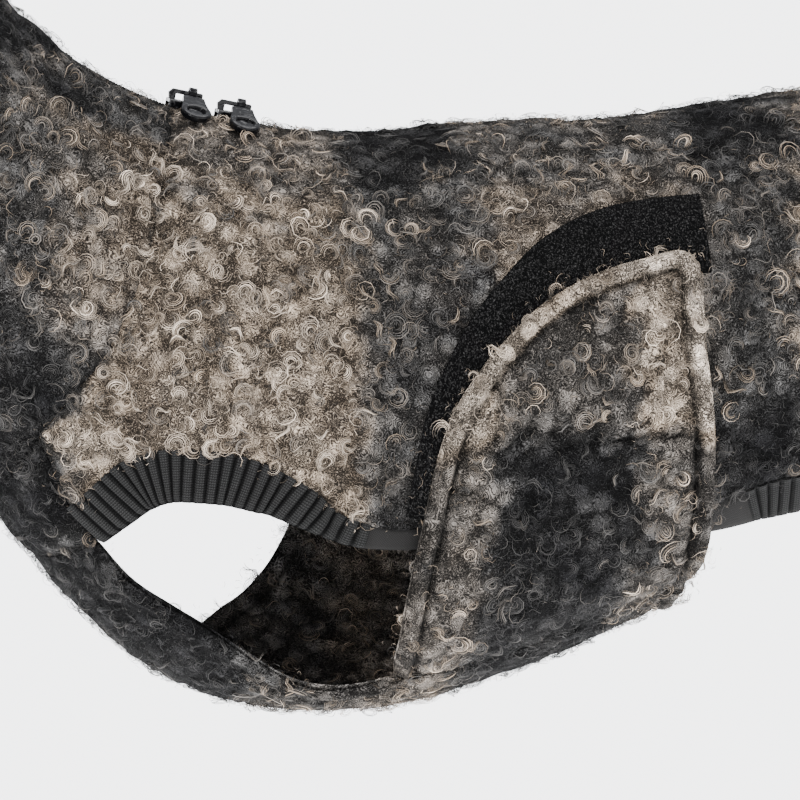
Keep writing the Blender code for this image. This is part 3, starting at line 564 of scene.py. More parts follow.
class Graph:
    """The nodes of one material, or of the world."""

    mix_share, mix_low, mix_high, mix_result = 0, 6, 7, 2    # a colour Mix node's sockets

    def __init__(self, owner: bpy.types.ID, shader: str = "Principled BSDF") -> None:
        """Take the owner's node tree and the shader in it."""
        owner.use_nodes = True
        self.owner, self.tree = owner, owner.node_tree
        self.shader = self.tree.nodes[shader]

    @classmethod
    def material(cls, name: str) -> "Graph":
        """Nodes of a new material."""
        return cls(bpy.data.materials.new(name))

    def node(self, kind: str, settings: dict = None, inputs: dict = None,
             output: Union[int, str] = 0) -> Wire:
        """Add a node.

        Args:
            kind: its Blender type.
            settings: properties, set first; "stops" holds a ramp's (position, colour) pairs.
            inputs: values or wires by socket name or number.
            output: the output to return.
        Returns:
            A wire from that output.
        """
        made = self.tree.nodes.new(kind)
        for key, value in (settings or {}).items():
            if key == "stops":
                self._set_stops(made.color_ramp, value)
            else:
                setattr(made, key, value)
        for key, value in (inputs or {}).items():
            self.feed(made.inputs[key], value)
        return Wire(self, made.outputs[output])

    @staticmethod
    def _set_stops(ramp: bpy.types.ColorRamp, stops: Sequence) -> None:
        """Give a ramp its stops."""
        while len(ramp.elements) < len(stops):
            ramp.elements.new(0.5)
        for element, (position, colour) in zip(ramp.elements, stops):
            element.position = position
            element.color = (*colour, 1.0)

    def feed(self, socket: bpy.types.NodeSocket, value: object) -> None:
        """Link a wire to a socket, or set the socket's own value."""
        if isinstance(value, Wire):
            self.tree.links.new(value.socket, socket)
        elif isinstance(value, tuple) and len(value) == 3 and socket.type == "RGBA":
            socket.default_value = (*value, 1.0)
        else:
            socket.default_value = value

    def mix(self, share: Number, low: object, high: object, how: str = "MIX") -> Wire:
        """Colours mixed by a share."""
        return self.node("ShaderNodeMix", {"data_type": "RGBA", "blend_type": how},
                         {self.mix_share: share, self.mix_low: low, self.mix_high: high}, self.mix_result)

    def times(self, colour: object, other: object) -> Wire:
        """Product of two colours."""
        return self.mix(1.0, colour, other, "MULTIPLY")

    def shades(self, light: Wire, bounds: tuple, dark: object, pale: object) -> Wire:
        """From the dark colour to the pale one while the light passes its bounds."""
        return self.mix(light.between(*bounds), dark, pale)

    def tone(self) -> Wire:
        """The colour kept at the mesh's points."""
        return self.node("ShaderNodeAttribute", {"attribute_name": "tone"}, output="Color")

    def own(self, kind: str = "Object") -> Wire:
        """The piece's own coordinates: Object, or UV."""
        return self.node("ShaderNodeTexCoord", output=kind)

    def stretched(self, source: Wire, scale: tuple) -> Wire:
        """Coordinates scaled along each axis."""
        return self.node("ShaderNodeMapping", inputs={"Vector": source, "Scale": scale})

    def bent(self, source: Wire, reach: float, scale: float) -> Wire:
        """Coordinates pushed about by a noise, by up to the reach in metres."""
        return self.mix(reach, source, self.noise(source, scale, 1.0, output="Color"), "ADD")

    def split(self, source: Wire) -> tuple:
        """The three parts of a vector."""
        parts = self.node("ShaderNodeSeparateXYZ", inputs={0: source}).socket.node.outputs
        return tuple(Wire(self, part) for part in parts)

    def noise(self, source: Wire, scale: float, detail: float = 3.0, rough: float = 0.55,
              output: str = "Fac") -> Wire:
        """Noise at a scale in cycles per metre."""
        inputs = {"Vector": source, "Scale": scale, "Detail": detail, "Roughness": rough}
        return self.node("ShaderNodeTexNoise", inputs=inputs, output=output)

    def cells(self, source: Wire, scale: float, output: str = "Distance") -> Wire:
        """Distance to scattered points, or another output of them."""
        return self.node("ShaderNodeTexVoronoi", inputs={"Vector": source, "Scale": scale}, output=output)

    def bump(self, height: Wire, depth: float, strength: float = 1.0, under: Wire = None) -> Wire:
        """Normal raised by a height in depths of metres."""
        inputs = {"Height": height, "Distance": depth, "Strength": strength}
        if under is not None:
            inputs["Normal"] = under
        return self.node("ShaderNodeBump", inputs=inputs)

    def done(self, **values: object) -> bpy.types.ID:
        """Feed the shader's sockets, named with _ for a space, and return the owner."""
        for key, value in values.items():
            self.feed(self.shader.inputs[key.replace("_", " ")], value)
        return self.owner


# Finishes ----------

@dataclass(frozen=True)
class WoolGround:
    """Matted fibre between the raised curls: whorls of fine strands in the check's own tone."""

    whorl: float = 8.0 * MM
    tuft: float = 7.5 * MM
    bend: float = 1.6 * MM
    relief: float = 1.0 * MM
    strands: float = 17.0
    light: tuple = (0.14, 0.80)
    darkest: float = 0.06
    palest: float = 1.95

    def material(self) -> bpy.types.Material:
        """Strands along the contours of two bent noises, broken up and tufted, over the tone in the mesh."""
        g = Graph.material("wool_ground")
        place = g.own()
        bent = g.bent(place, self.bend, 620.0)
        fine = g.noise(place, 1700.0, 2.0, 0.6)
        broad = g.noise(bent, 1 / self.whorl, 1.0, 0.4)
        small = g.noise(g.stretched(bent, (1.0, -1.0, 1.0)), 1.9 / self.whorl, 1.0, 0.4)
        turns = 2 * math.pi * self.strands
        rings = (broad * (turns * 1.5) + fine * 2.0).stripes()
        fibres = (small * turns + fine * 2.6).stripes()
        own, other, _ = g.split(g.cells(bent, 1 / self.tuft, "Color"))
        tuft = 1 - g.cells(bent, 1 / self.tuft).between(0.20, 0.75)
        light = rings * (tuft * own * 0.5 + 0.16) + fibres * (other * 0.22 + 0.16) + (fine - 0.5) * 0.75
        light = light + tuft * own * 0.16
        tone = g.tone()
        colour = g.shades(light, self.light, g.times(tone, (self.darkest,) * 3),
                          g.times(tone, (self.palest,) * 3))
        height = tuft * 1.1 + rings * 0.25 + fibres * 0.30 + fine * 0.3
        return g.done(Base_Color=colour, Roughness=0.95, Normal=g.bump(height, self.relief),
                      Specular_IOR_Level=0.08)


@dataclass(frozen=True)
class WoolCurls:
    """Fibre of the curls: fine strands along each lock, dark between them."""

    dark: tuple = (0.30, 0.29, 0.28)
    pale: tuple = (1.95, 1.92, 1.88)
    light: tuple = (0.15, 0.95)
    relief: float = 0.15 * MM
    sheen: float = 0.03

    def material(self) -> bpy.types.Material:
        """Strand lines across the lock from its own coordinates, over the tone in the mesh."""
        g = Graph.material("wool_curls")
        uv = g.own("UV")
        across, _, _ = g.split(uv)
        wander = g.noise(g.stretched(uv, (0.6, 0.12, 1.0)), 3.0, 2.0)
        lines = ((across + wander * 0.9) * (2 * math.pi)).stripes()
        streak = g.noise(g.stretched(uv, (2.2, 0.16, 1.0)), 2.0, 2.0)
        light = lines * 0.62 + streak * 0.62 - 0.10
        tone = g.tone()
        colour = g.shades(light, self.light, g.times(tone, self.dark), g.times(tone, self.pale))
        return g.done(Base_Color=colour, Roughness=0.88 - lines * 0.2,
                      Normal=g.bump(lines, self.relief, 0.6),
                      Sheen_Weight=self.sheen, Sheen_Roughness=0.45, Specular_IOR_Level=0.15)


@dataclass(frozen=True)
class RibKnit:
    """Charcoal rib knit: rows of small stitches on each rib."""

    dark: tuple = (0.00459, 0.00459, 0.0045)
    pale: tuple = (0.02856, 0.02856, 0.028)
    light: tuple = (0.32, 1.0)
    relief: float = 0.30 * MM
    stitch: float = 1.0 * MM

    def material(self) -> bpy.types.Material:
        """Slanted stitches in columns, from the strip's own coordinates in metres along and across it."""
        g = Graph.material("rib_knit")
        along, across, _ = g.split(g.own("UV"))
        turn = 2 * math.pi / self.stitch
        slant = (along * turn * 0.5).sine().size()
        rows = (across * turn + slant * 2.4).stripes()
        fuzz = g.noise(g.own(), 2200.0, 2.0)
        light = rows * slant.between(0.05, 0.60) * 0.55 + fuzz * 0.75
        # the mesh's tone carries painted shade in the valleys between the ribs
        colour = g.times(g.shades(light, self.light, self.dark, self.pale), g.tone())
        return g.done(Base_Color=colour, Roughness=0.9, Normal=g.bump(light, self.relief),
                      Sheen_Weight=0.02, Sheen_Roughness=0.4, Specular_IOR_Level=0.12)


@dataclass(frozen=True)
class LoopNap:
    """Matte black loop side of the fastening: a short tangled nap."""

    dark: tuple = (0.0012, 0.0012, 0.0013)
    speck: tuple = (0.070, 0.068, 0.067)
    light: tuple = (0.52, 0.92)
    bend: float = 1.6 * MM
    relief: float = 0.7 * MM

    def material(self) -> bpy.types.Material:
        """Fine bent specks of loop over black."""
        g = Graph.material("loop_nap")
        bent = g.bent(g.own(), self.bend, 500.0)
        fine = g.noise(g.stretched(bent, (1.0, 1.0, 0.5)), 1800.0, 3.0, 0.7)
        spots = 1 - g.cells(bent, 1300.0)
        height = fine * 0.8 + spots * 0.30
        colour = g.shades(height, self.light, self.dark, self.speck)
        return g.done(Base_Color=colour, Roughness=0.97, Normal=g.bump(height, self.relief),
                      Sheen_Weight=0.01, Sheen_Roughness=0.3, Specular_IOR_Level=0.05)


@dataclass(frozen=True)
class WovenCloth:
    """Plain weave, for the facing, the zip tape and its coil."""

    name: str
    colour: tuple
    thread: float
    sheen: float = 0.0
    light: tuple = (0.2, 1.0)
    relief: float = 0.15 * MM

    def material(self) -> bpy.types.Material:
        """Threads over and under, from the cloth's own coordinates in metres."""
        g = Graph.material(self.name)
        along, across, _ = g.split(g.own("UV"))
        turn = math.pi / self.thread
        weave = (along * turn).sine() * (across * turn).sine() * 0.5 + 0.5
        light = weave * 0.7 + g.noise(g.own(), 3000.0, 2.0) * 0.4
        colour = g.shades(light, self.light, tuple(c * 0.55 for c in self.colour),
                          tuple(c * 1.5 for c in self.colour))
        return g.done(Base_Color=colour, Roughness=0.8, Normal=g.bump(light, self.relief),
                      Sheen_Weight=self.sheen, Sheen_Roughness=0.4, Specular_IOR_Level=0.15)


@dataclass(frozen=True)
class BlackLacquer:
    """Glossy black lacquer over cast metal, very slightly uneven."""

    colour: tuple = (0.003, 0.003, 0.0035)
    rubbed: tuple = (0.035, 0.035, 0.037)
    relief: float = 0.6 * MM

    def material(self) -> bpy.types.Material:
        """Lacquer with faint waves and a few rubbed places."""
        g = Graph.material("black_lacquer")
        place = g.own()
        wave = g.noise(place, 220.0, 2.0)
        rub = g.noise(place, 900.0, 4.0, 0.6).between(0.62, 0.75)
        colour = g.mix(rub * 0.4, self.colour, self.rubbed)
        return g.done(Base_Color=colour, Roughness=0.12 + rub * 0.2,
                      Normal=g.bump(wave, self.relief, 0.9), Specular_IOR_Level=0.18)


@dataclass(frozen=True)
class PaleFloor:
    """Plain pale studio floor that glows evenly of itself."""

    colour: tuple = (0.92, 0.93, 0.945)
    glow: float = 2.4

    def material(self) -> bpy.types.Material:
        """Matt paint with a faint change of tone."""
        g = Graph.material("pale_floor")
        colour = g.shades(g.noise(g.own(), 0.4, 1.0), (0.3, 0.7), self.colour,
                          tuple(c * 0.995 for c in self.colour))
        return g.done(Base_Color=colour, Roughness=0.9, Specular_IOR_Level=0.1,
                      Emission_Color=(1.0, 1.0, 1.0), Emission_Strength=self.glow)


# The check ----------

class Waves:
    """A slow unevenness in space: the sum of a few sine waves in random directions."""

    def __init__(self, rng: np.random.Generator, count: int, length: float, calm: float) -> None:
        """Draw the waves.

        Args:
            rng: source of the random numbers.
            count: how many waves.
            length: their usual length in metres.
            calm: what their sum is divided by.
        """
        self.turns = rng.normal(size=(count, 3)) * (2 * math.pi / length)
        self.phases = rng.uniform(0, 2 * math.pi, count)
        self.calm = calm

    def at(self, points: Array) -> Array:
        """The sum at points, mostly between -1 and 1."""
        return np.sin(points @ self.turns.T + self.phases).sum(axis=-1) / self.calm


class Field(Enum):
    BACK = "back"
    FLAPS = "flaps"
    NECK = "neck"


@dataclass(frozen=True)
class Bands:
    """The check's bands along the body and round it: their edges in millimetres and how pale each is.

    lean moves the edges round the body for each millimetre toward the tail.
    """

    along: tuple
    along_pale: tuple
    around: tuple
    around_pale: tuple
    lean: tuple = ()


@dataclass(frozen=True)
class Blend:
    """Paleness of the crossings: base, share of the pale bands along and round, and of both at once."""

    base: float
    along: float
    around: float
    both: float
    wander: float


class Check:
    """A soft woven check of pale and dark bands, in two directions."""

    bands = {
        Field.BACK: Bands((-104, 12, 60, 148, 192, 300, 348), (0.0, 1.0, 0.0, 0.70, 0.0, 0.9, 0.0, 1.0),
                          (51, 190), (0.0, 1.0, 0.0), (0.0, -0.24)),
        Field.FLAPS: Bands((-30, 22, 61, 118, 175), (0.0, 0.85, 1.2, 0.0, 1.0, 0.0),
                           (155, 236), (1.0, 0.0, 0.0)),
        Field.NECK: Bands((-190, -150, -106, -20), (0.0, 1.0, 0.0, 1.0, 0.0), (40, 128), (0.0, 1.0, 0.0)),
    }
    blends = {
        Field.BACK: Blend(0.05, 0.55, 0.31, -0.11, 0.06),
        Field.FLAPS: Blend(0.04, 0.44, 0.44, -0.05, 0.05),
        Field.NECK: Blend(0.08, 0.22, 0.29, 0.04, 0.10),
    }
    soft: float = 8.0 * MM
    stray: float = 6 * MM
    fibres = (      # paleness, and the fibres' colour there
        (0.00, (0.0130, 0.0128, 0.0135)),
        (0.35, (0.0740, 0.0715, 0.0690)),
        (0.58, (0.160, 0.141, 0.123)),
        (0.78, (0.270, 0.211, 0.156)),
        (1.00, (0.600, 0.505, 0.410)),
    )

    def __init__(self, form: WornForm, rng: np.random.Generator) -> None:
        """Keep the form, and waves that make the bands' edges wander."""
        self.form, self.waves = form, Waves(rng, 12, 34 * MM, 3.5)

    def _level(self, value: Array, edges: Sequence, pale: tuple) -> Array:
        """Paleness across the bands, easing from one to the next."""
        level = np.full(value.shape, pale[0])
        for edge, before, after in zip(edges, pale, pale[1:]):
            level = level + (after - before) * smooth_step(value - edge * MM, -self.soft, self.soft)
        return level

    def paleness(self, place: Array, field_name: Field) -> Array:
        """Share of pale fibre at places, from the bands that cross there.

        Args:
            place: the places.
            field_name: whose bands are meant.
        Returns:
            Values from 0 to 1.
        """
        points = self.form.at(place)
        x, wander = points[..., 0], self.waves.at(points)
        bands, blend = self.bands[field_name], self.blends[field_name]
        lean = bands.lean or (0.0,) * len(bands.around)
        edges = [edge + slope * x / MM for edge, slope in zip(bands.around, lean)]
        along = self._level(x + wander * self.stray, bands.along, bands.along_pale)
        around = self._level(self.form.girth(place) + wander * self.stray, edges, bands.around_pale)
        return np.clip(blend.base + blend.along * along + blend.around * around
                       + blend.both * along * around + blend.wander * wander, 0, 1)

    def colour(self, level: Array) -> Array:
        """Fibre colours from 0, charcoal, through grey, brown and beige to 1, cream."""
        stops, colours = zip(*self.fibres)
        return np.stack([np.interp(level, stops, part) for part in zip(*colours)], axis=-1)


# Cut and shape of the cloth ----------

@dataclass(frozen=True)
class Cloth:
    """Thicknesses shared by the pieces."""

    pile: float = 5.0 * MM
    ground_drop: float = 1.6 * MM
    pressed: float = 3.0 * MM
    seam: float = 0.3 * MM
    layer: float = 0.5 * MM
    hem: float = 1.3 * MM
    band: float = 1.3 * MM
    step: float = 4.2 * MM

    @property
    def flap_lift(self) -> float:
        """Height of a flap's inner face where it lies on the back panel."""
        return self.pile + self.layer + self.band + self.layer


NECK_SEAM = ((2.95, 0.0), (2.97, 0.14), (3.08, 0.28), (3.18, 0.38), (3.22, 0.46), (3.21, 0.55),
             (3.10, 0.64), (3.05, 0.737))
CHEST_SIDE = ((3.05, 0.737), (3.25, 0.752), (3.50, 0.772), (3.72, 0.790))
CHEST_FRONT_END = ((3.72, 0.790), (4.10, 0.802))
STRAP_SEAM = ((4.10, 0.802), (3.98, 0.86), (3.90, 0.92), (3.86, 1.0))
LOWER_EDGE = (  # station, share, width in millimetres of the trim sewn on there
    (3.72, 0.790, 17.0), (3.80, 0.727, 18.0), (3.92, 0.662, 19.5), (4.15, 0.615, 20.0),
    (4.42, 0.583, 20.0), (4.85, 0.553, 19.5), (5.30, 0.551, 18.0), (5.70, 0.571, 14.5),
    (6.10, 0.597, 10.5), (6.65, 0.612, 8.0), (7.15, 0.618, 8.0), (8.05, 0.642, 9.0),
    (9.00, 0.678, 10.5), (9.50, 0.694, 13.0), (9.85, 0.698, 16.0), (10.15, 0.694, 19.0),
    (10.60, 0.703, 20.0), (11.30, 0.715, 20.0), (12.10, 0.712, 20.0), (12.70, 0.690, 20.0),
    (13.10, 0.630, 20.0), (13.36, 0.520, 20.0), (13.52, 0.360, 20.0), (13.60, 0.180, 20.0),
    (13.62, 0.0, 20.0),
)
TAIL_CORNER = (13.0, 0.65)
RIB_STOP = 6.35
HEM_RIB_START = 9.98
STRAP_LEFT = ((4.10, 0.802), (4.45, 0.812), (4.80, 0.803), (5.10, 0.803), (5.50, 0.822),
              (6.15, 0.868), (6.60, 0.874), (7.00, 0.86), (7.60, 0.86), (9.55, 0.86))
STRAP_RIGHT = ((4.10, 0.802), (4.50, 0.820), (4.90, 0.835), (5.30, 0.843), (5.50, 0.846),
               (6.10, 0.856), (6.60, 0.86), (7.60, 0.86), (9.55, 0.86))
@dataclass(frozen=True)
class Flap:
    """Outline of a flap that wraps up a side: its free edges, from corner to corner."""

    front: tuple
    top: tuple
    rear: tuple

    @property
    def corner(self) -> float:
        """Station where its front edge leaves the belly."""
        return self.front[0][0]


FLAPS = {
    Side.LEFT: Flap(
        front=((7.00, 0.860), (6.88, 0.79), (6.82, 0.70), (6.84, 0.60), (6.90, 0.51), (7.04, 0.455),
               (7.34, 0.400)),
        top=((7.34, 0.400), (7.80, 0.350), (8.30, 0.325), (8.80, 0.315), (9.32, 0.317), (9.50, 0.340)),
        rear=((9.55, 0.860), (9.57, 0.77), (9.59, 0.66), (9.57, 0.55), (9.49, 0.44), (9.50, 0.340))),
    Side.RIGHT: Flap(
        front=((5.50, 0.846), (5.72, 0.80), (6.00, 0.757), (6.25, 0.707), (6.42, 0.65), (6.47, 0.56),
               (6.58, 0.47), (6.90, 0.390)),
        top=((6.90, 0.390), (7.40, 0.325), (7.95, 0.285), (8.50, 0.265), (9.00, 0.262), (9.20, 0.285)),
        rear=((9.55, 0.860), (9.52, 0.77), (9.46, 0.66), (9.36, 0.55), (9.24, 0.42), (9.20, 0.285))),
}
BAND_EDGE = ((6.66, 0.590), (6.68, 0.53), (6.72, 0.47), (6.90, 0.403), (7.15, 0.348), (7.47, 0.303),
             (7.80, 0.266), (8.20, 0.241), (8.65, 0.228), (9.15, 0.228), (9.64, 0.238))
# Rows of stitching that press the pile flat, on the left flap; the right flap has the same ones
CROSS_STITCHES = (
    ((7.40, 0.498), (7.65, 0.500), (7.90, 0.507), (8.20, 0.517), (8.40, 0.527)),
    ((7.20, 0.512), (7.45, 0.517), (7.75, 0.523), (8.05, 0.530), (8.35, 0.534), (8.80, 0.544),
     (9.25, 0.557)),
)
ZIP_START, ZIP_END = 1.62, 6.30


class Pattern:
    """Cuts the coat's pieces on the worn form, fine enough for the finished cloth."""

    zip_parting: float = 4.8 * MM
    zip_ramp: float = 0.30
    zip_flat: tuple = (5 * MM, 15 * MM)
    zip_fades: tuple = (0.3, 0.2)
    back_size: tuple = (0.42, 0.205)
    back_spread: tuple = (5.9, 9.4)
    neck_length: float = 0.125
    neck_columns: int = 46
    chest_length: float = 0.055
    chest_columns: int = 41
    strap_width: float = 0.085
    strap_settles: float = 4.45
    strap_rear: tuple = (9.45, 9.50, 9.53, 9.55)
    strap_steps: tuple = (18, 17, 27)
    flap_height: float = 0.19
    flap_middle: tuple = (0.40, 0.60)
    flap_rise: tuple = (0.745, 0.855)
    hem_inset: float = 8.0 * MM
    hem_fine: float = 1.8 * MM
    trim_fade: float = 4 * MM
    band_millimetres: float = 32

    def __init__(self, form: WornForm, cloth: Cloth) -> None:
        """Keep the form and the thicknesses."""
        self.form, self.cloth, self.lines = form, cloth, Lines(form)

    def centre_edge(self, stations: Array) -> Array:
        """Left cloth edge beside the back's centre line, parted along the zip.

        Args:
            stations: where its places are wanted.
        Returns:
            The places. Where it is closed, both halves overlap by the seam's width.
        """
        opened = smooth_step(stations, ZIP_START, ZIP_START + self.zip_ramp)
        closed = 1 - smooth_step(stations, ZIP_END - self.zip_ramp, ZIP_END)
        closed_edge = -self.cloth.seam / 2
        parting = closed_edge + (self.zip_parting - closed_edge) * opened * closed
        around = self.form.slope_round(np.column_stack([stations, np.full(len(stations), 0.02)]))
        return np.column_stack([stations, parting / around])

    def pile_height(self, places: Array) -> Array:
        """Outer offset of the cloth: full pile, pressed flatter beside the zip."""
        side, station = np.abs(self.form.at(places)[..., 1]), places[..., 0]
        outer, inner = self.zip_fades
        along = smooth_step(station, ZIP_START - outer, ZIP_START + inner)
        along = along * (1 - smooth_step(station, ZIP_END - inner, ZIP_END + outer))
        flat = along * (1 - smooth_step(side, *self.zip_flat))
        return self.cloth.pile - (self.cloth.pile - self.cloth.pressed) * flat

    def lower_edge(self) -> Array:
        """Back panel's lower edge on the left, from the armhole to the centre of the tail end."""
        rows = np.array(LOWER_EDGE, float)
        over = rows[-3:-1][::-1] * (1, -1, 1)
        return self.lines.smooth(np.concatenate([rows, over]))[:16 * (len(rows) - 1) + 1]

    def back(self) -> Patch:
        """Left half of the back panel, filled between its four edges."""
        half = self.cloth.seam / 2
        seam = self.lines.inset(self.lines.smooth(NECK_SEAM), half)
        chest = self.lines.inset(self.lines.smooth(CHEST_SIDE), half)
        front_line = np.concatenate([seam[:-1], [(seam[-1] + chest[0]) / 2], chest[1:]])
        lower = self.lower_edge()[:, :2]
        corner = int(np.argmin(np.abs(lower - TAIL_CORNER).sum(axis=1)))
        p, q = (rimmed(length, self.cloth.step) for length in self.back_size)
        front = self.lines.cut(front_line, q)
        rear = self.lines.cut(lower[corner:][::-1], q)
        bottom = self.lines.cut(lower[:corner + 1], p)
        stations = np.interp(p, np.linspace(0, 1, 4), (front[0, 0], *self.back_spread, rear[0, 0]))
        top = self.centre_edge(stations)
        front[0], rear[0], bottom[0], rear[-1] = top[0], top[-1], front[-1], bottom[-1]
        places = filled(front, rear, top, bottom, p, q)
        return Patch(places, np.zeros(places.shape[:2]), self.pile_height(places))

    def neck(self) -> list:
        """Neck piece, open at the back, and the chest down to the strap."""
        half, count = self.cloth.seam / 2, self.chest_columns
        even = np.linspace(0, 1, self.neck_columns)
        seam = self.lines.cut(self.lines.inset(self.lines.smooth(NECK_SEAM), -half), even)
        chest = self.lines.inset(self.lines.smooth(CHEST_SIDE), -half)
        ends = self.lines.inset(self.lines.smooth(CHEST_FRONT_END), -half)
        corner = (seam[-1] + chest[0]) / 2
        left = np.concatenate([seam[:-1], [corner]])
        left[0, 1] = 0.0
        middle = np.column_stack([np.full(count, corner[0]), np.linspace(corner[1], 2 - corner[1], count)])
        stops, shares = np.concatenate([left, middle[1:-1], opposite(left[::-1])]).T
        stations = rimmed(self.neck_length, self.cloth.step)[:, None] * stops[None]
        round_neck = np.stack([stations, np.broadcast_to(shares, stations.shape)], axis=-1)
        opening = self.centre_edge(stations[:, 0])
        round_neck[:, 0], round_neck[:, -1] = opening, opposite(opening)
        side = np.concatenate([[corner], chest[1:-1], [(chest[-1] + ends[0]) / 2], ends[1:]])
        p, q = np.linspace(0, 1, count), rimmed(self.chest_length, self.cloth.step, start=False)
        side = self.lines.cut(side, q)
        strap = self.strap_seam(-half, p)
        strap[0], strap[-1] = side[-1], opposite(side[-1])
        chest_places = filled(side, opposite(side), middle, strap, p, q)
        return [Patch(places, np.zeros(places.shape[:2]), high) for places, high in (
            (round_neck, self.pile_height(round_neck)),
            (chest_places, np.full(chest_places.shape[:2], self.cloth.pile)))]

    def strap_seam(self, distance: float, fractions: Array) -> Array:
        """Seam across the strap, from left to right, moved toward the tail."""
        half = self.lines.smooth(STRAP_SEAM)
        whole = np.concatenate([half, opposite(half[::-1])[1:]])
        return self.lines.cut(self.lines.inset(whole, distance), fractions)

    def _share_on(self, rows: Sequence, stations: Array) -> Array:
        """Share of an edge line at stations."""
        line = self.lines.smooth(rows)
        order = np.argsort(line[:, 0])
        return np.interp(stations, line[order, 0], line[order, 1])

    def _flap_offset(self, places: Array) -> Array:
        """Height of a flap's inner face, rising from the belly onto the back panel."""
        return self.cloth.flap_lift * (1 - smooth_step(from_back(places[..., 1]), *self.flap_rise))

    def _strap(self, hem: Array) -> Patch:
        """Strap and belly between both flaps' corners, with finer rows beside the hems.

        Args:
            hem: distances of the finer rows from the hemmed edges.
        Returns:
            The patch, whose first row is the strap's seam.
        """
        start = STRAP_LEFT[0][0]
        right_corner, left_corner = FLAPS[Side.RIGHT].corner, FLAPS[Side.LEFT].corner
        beside = hem / self.lines.station_length
        spans = ((start, right_corner), (right_corner, left_corner), (left_corner, self.strap_rear[0]))
        stations = np.unique(np.concatenate(
            [np.linspace(*span, count)[1:] for span, count in zip(spans, self.strap_steps)]
            + [self.strap_rear[1:], right_corner + beside, left_corner + beside,
               self.strap_rear[-1] - beside]))
        left = self._share_on(STRAP_LEFT, stations)
        right = 2 - self._share_on(STRAP_RIGHT, stations)
        across = rimmed(self.strap_width, self.cloth.step)
        shares = left[:, None] * (1 - across) + right[:, None] * across
        body = np.stack([np.broadcast_to(stations[:, None], shares.shape), shares], axis=-1)
        seam = self.strap_seam(self.cloth.seam / 2, across)
        blend = smooth_step(stations, start, self.strap_settles)[:, None, None]
        shift = seam - np.column_stack([np.full(len(across), start), seam[:, 1]])
        body = np.concatenate([seam[None], body + shift[None] * (1 - blend)])
        return Patch(body, np.zeros(body.shape[:2]), np.full(body.shape[:2], self.cloth.pile))

    def belly(self) -> list:
        """Strap and belly, then the left and the right flap."""
        hem = self.hem_inset + np.linspace(-self.hem_fine, self.hem_fine, 5)
        strap = self._strap(hem)
        patches, stations = [strap], strap.places[1:, 0, 0]
        for side, flap in FLAPS.items():
            start = 1 + int(np.argmin(np.abs(stations - flap.corner)))
            base = strap.places[start:, 0] if side is Side.LEFT else opposite(strap.places[start:, -1])
            lengths = self.lines.lengths(base)
            p = lengths / lengths[-1]
            q = np.concatenate([rimmed(self.flap_height, self.cloth.step, start=False),
                                1 - hem / self.flap_height, np.linspace(*self.flap_middle, 24)])
            q = np.unique(np.round(q, 4))
            front, top, rear = (self.lines.cut(self.lines.smooth(rows), fractions) for rows, fractions
                                in ((flap.front, q), (flap.top, p), (flap.rear, q)))
            front[0], rear[0] = base[0], base[-1]
            places = filled(front, rear, base, top, p, q)
            low = self._flap_offset(places)
            places = places if side is Side.LEFT else opposite(places)
            patches.append(Patch(places, low, low + self.cloth.pile))
        return patches

    def trim(self, start: Optional[float], stop: Optional[float], along: Array, across: Array,
             tuck: float = 0.0) -> Patch:
        """Strip sewn to the back panel's lower edge.

        Args:
            start, stop: stations of its ends, or None for the edge's own ends.
            along, across: fractions of its length, and of its width from the seam.
            tuck: how far it lies under the panel, at the seam and at an end of its own.
        Returns:
            The strip's places, with its width on each row kept in high for the caller.
        """
        lower = self.lower_edge()
        lengths = self.lines.lengths(lower)
        turn = int(np.argmax(lower[:, 0]))
        rising = lower[:turn + 1, 0]
        low = np.interp(start, rising, lengths[:turn + 1]) if start is not None else 0.0
        high = np.interp(stop, rising, lengths[:turn + 1]) if stop is not None else lengths[-1]
        wanted = low + (high - low) * along
        line = np.column_stack([np.interp(wanted, lengths, column) for column in lower.T])
        places, widths = line[:, :2], line[:, 2:] * MM
        run = unit(np.gradient(self.form.at(places), axis=0))
        if start is None:
            under = -0.4 * tuck * np.exp(-wanted / self.trim_fade)[:, None]
            places = self.form.walk(places, run * under)
        side = np.cross(run, self.form.outward(places))
        reach = self.cloth.seam - tuck + across[None, :] * (widths + tuck)
        grid = np.repeat(places[:, None], len(across), axis=1)
        grid = self.form.walk(grid, side[:, None] * reach[..., None])
        return Patch(grid, np.zeros(grid.shape[:2]), np.repeat(widths, len(across), axis=1))

    def trim_length(self, start: Optional[float], stop: Optional[float]) -> float:
        """Length of the lower edge between two stations."""
        patch = self.trim(start, stop, np.linspace(0, 1, 80), np.zeros(1))
        return float(self.lines.lengths(patch.places[:, 0])[-1])

    def band(self, along: Array, across: Array) -> Array:
        """Places of the loop band, at fractions along its outer edge and across from it."""
        outer = self.lines.cut(self.lines.smooth(BAND_EDGE), along)
        run = unit(np.gradient(self.form.at(outer), axis=0))
        side = np.cross(run, self.form.outward(outer))
        reach = side[:, None] * (across * self.band_millimetres * MM)[None, :, None]
        return self.form.walk(np.repeat(outer[:, None], len(across), axis=1), reach)


# Surface relief ----------

class Edge(Enum):
    """Edges of a grid of places, as the index of their points."""

    FRONT = (0, slice(None))
    REAR = (-1, slice(None))
    TOP = (slice(None), 0)
    BOTTOM = (slice(None), -1)


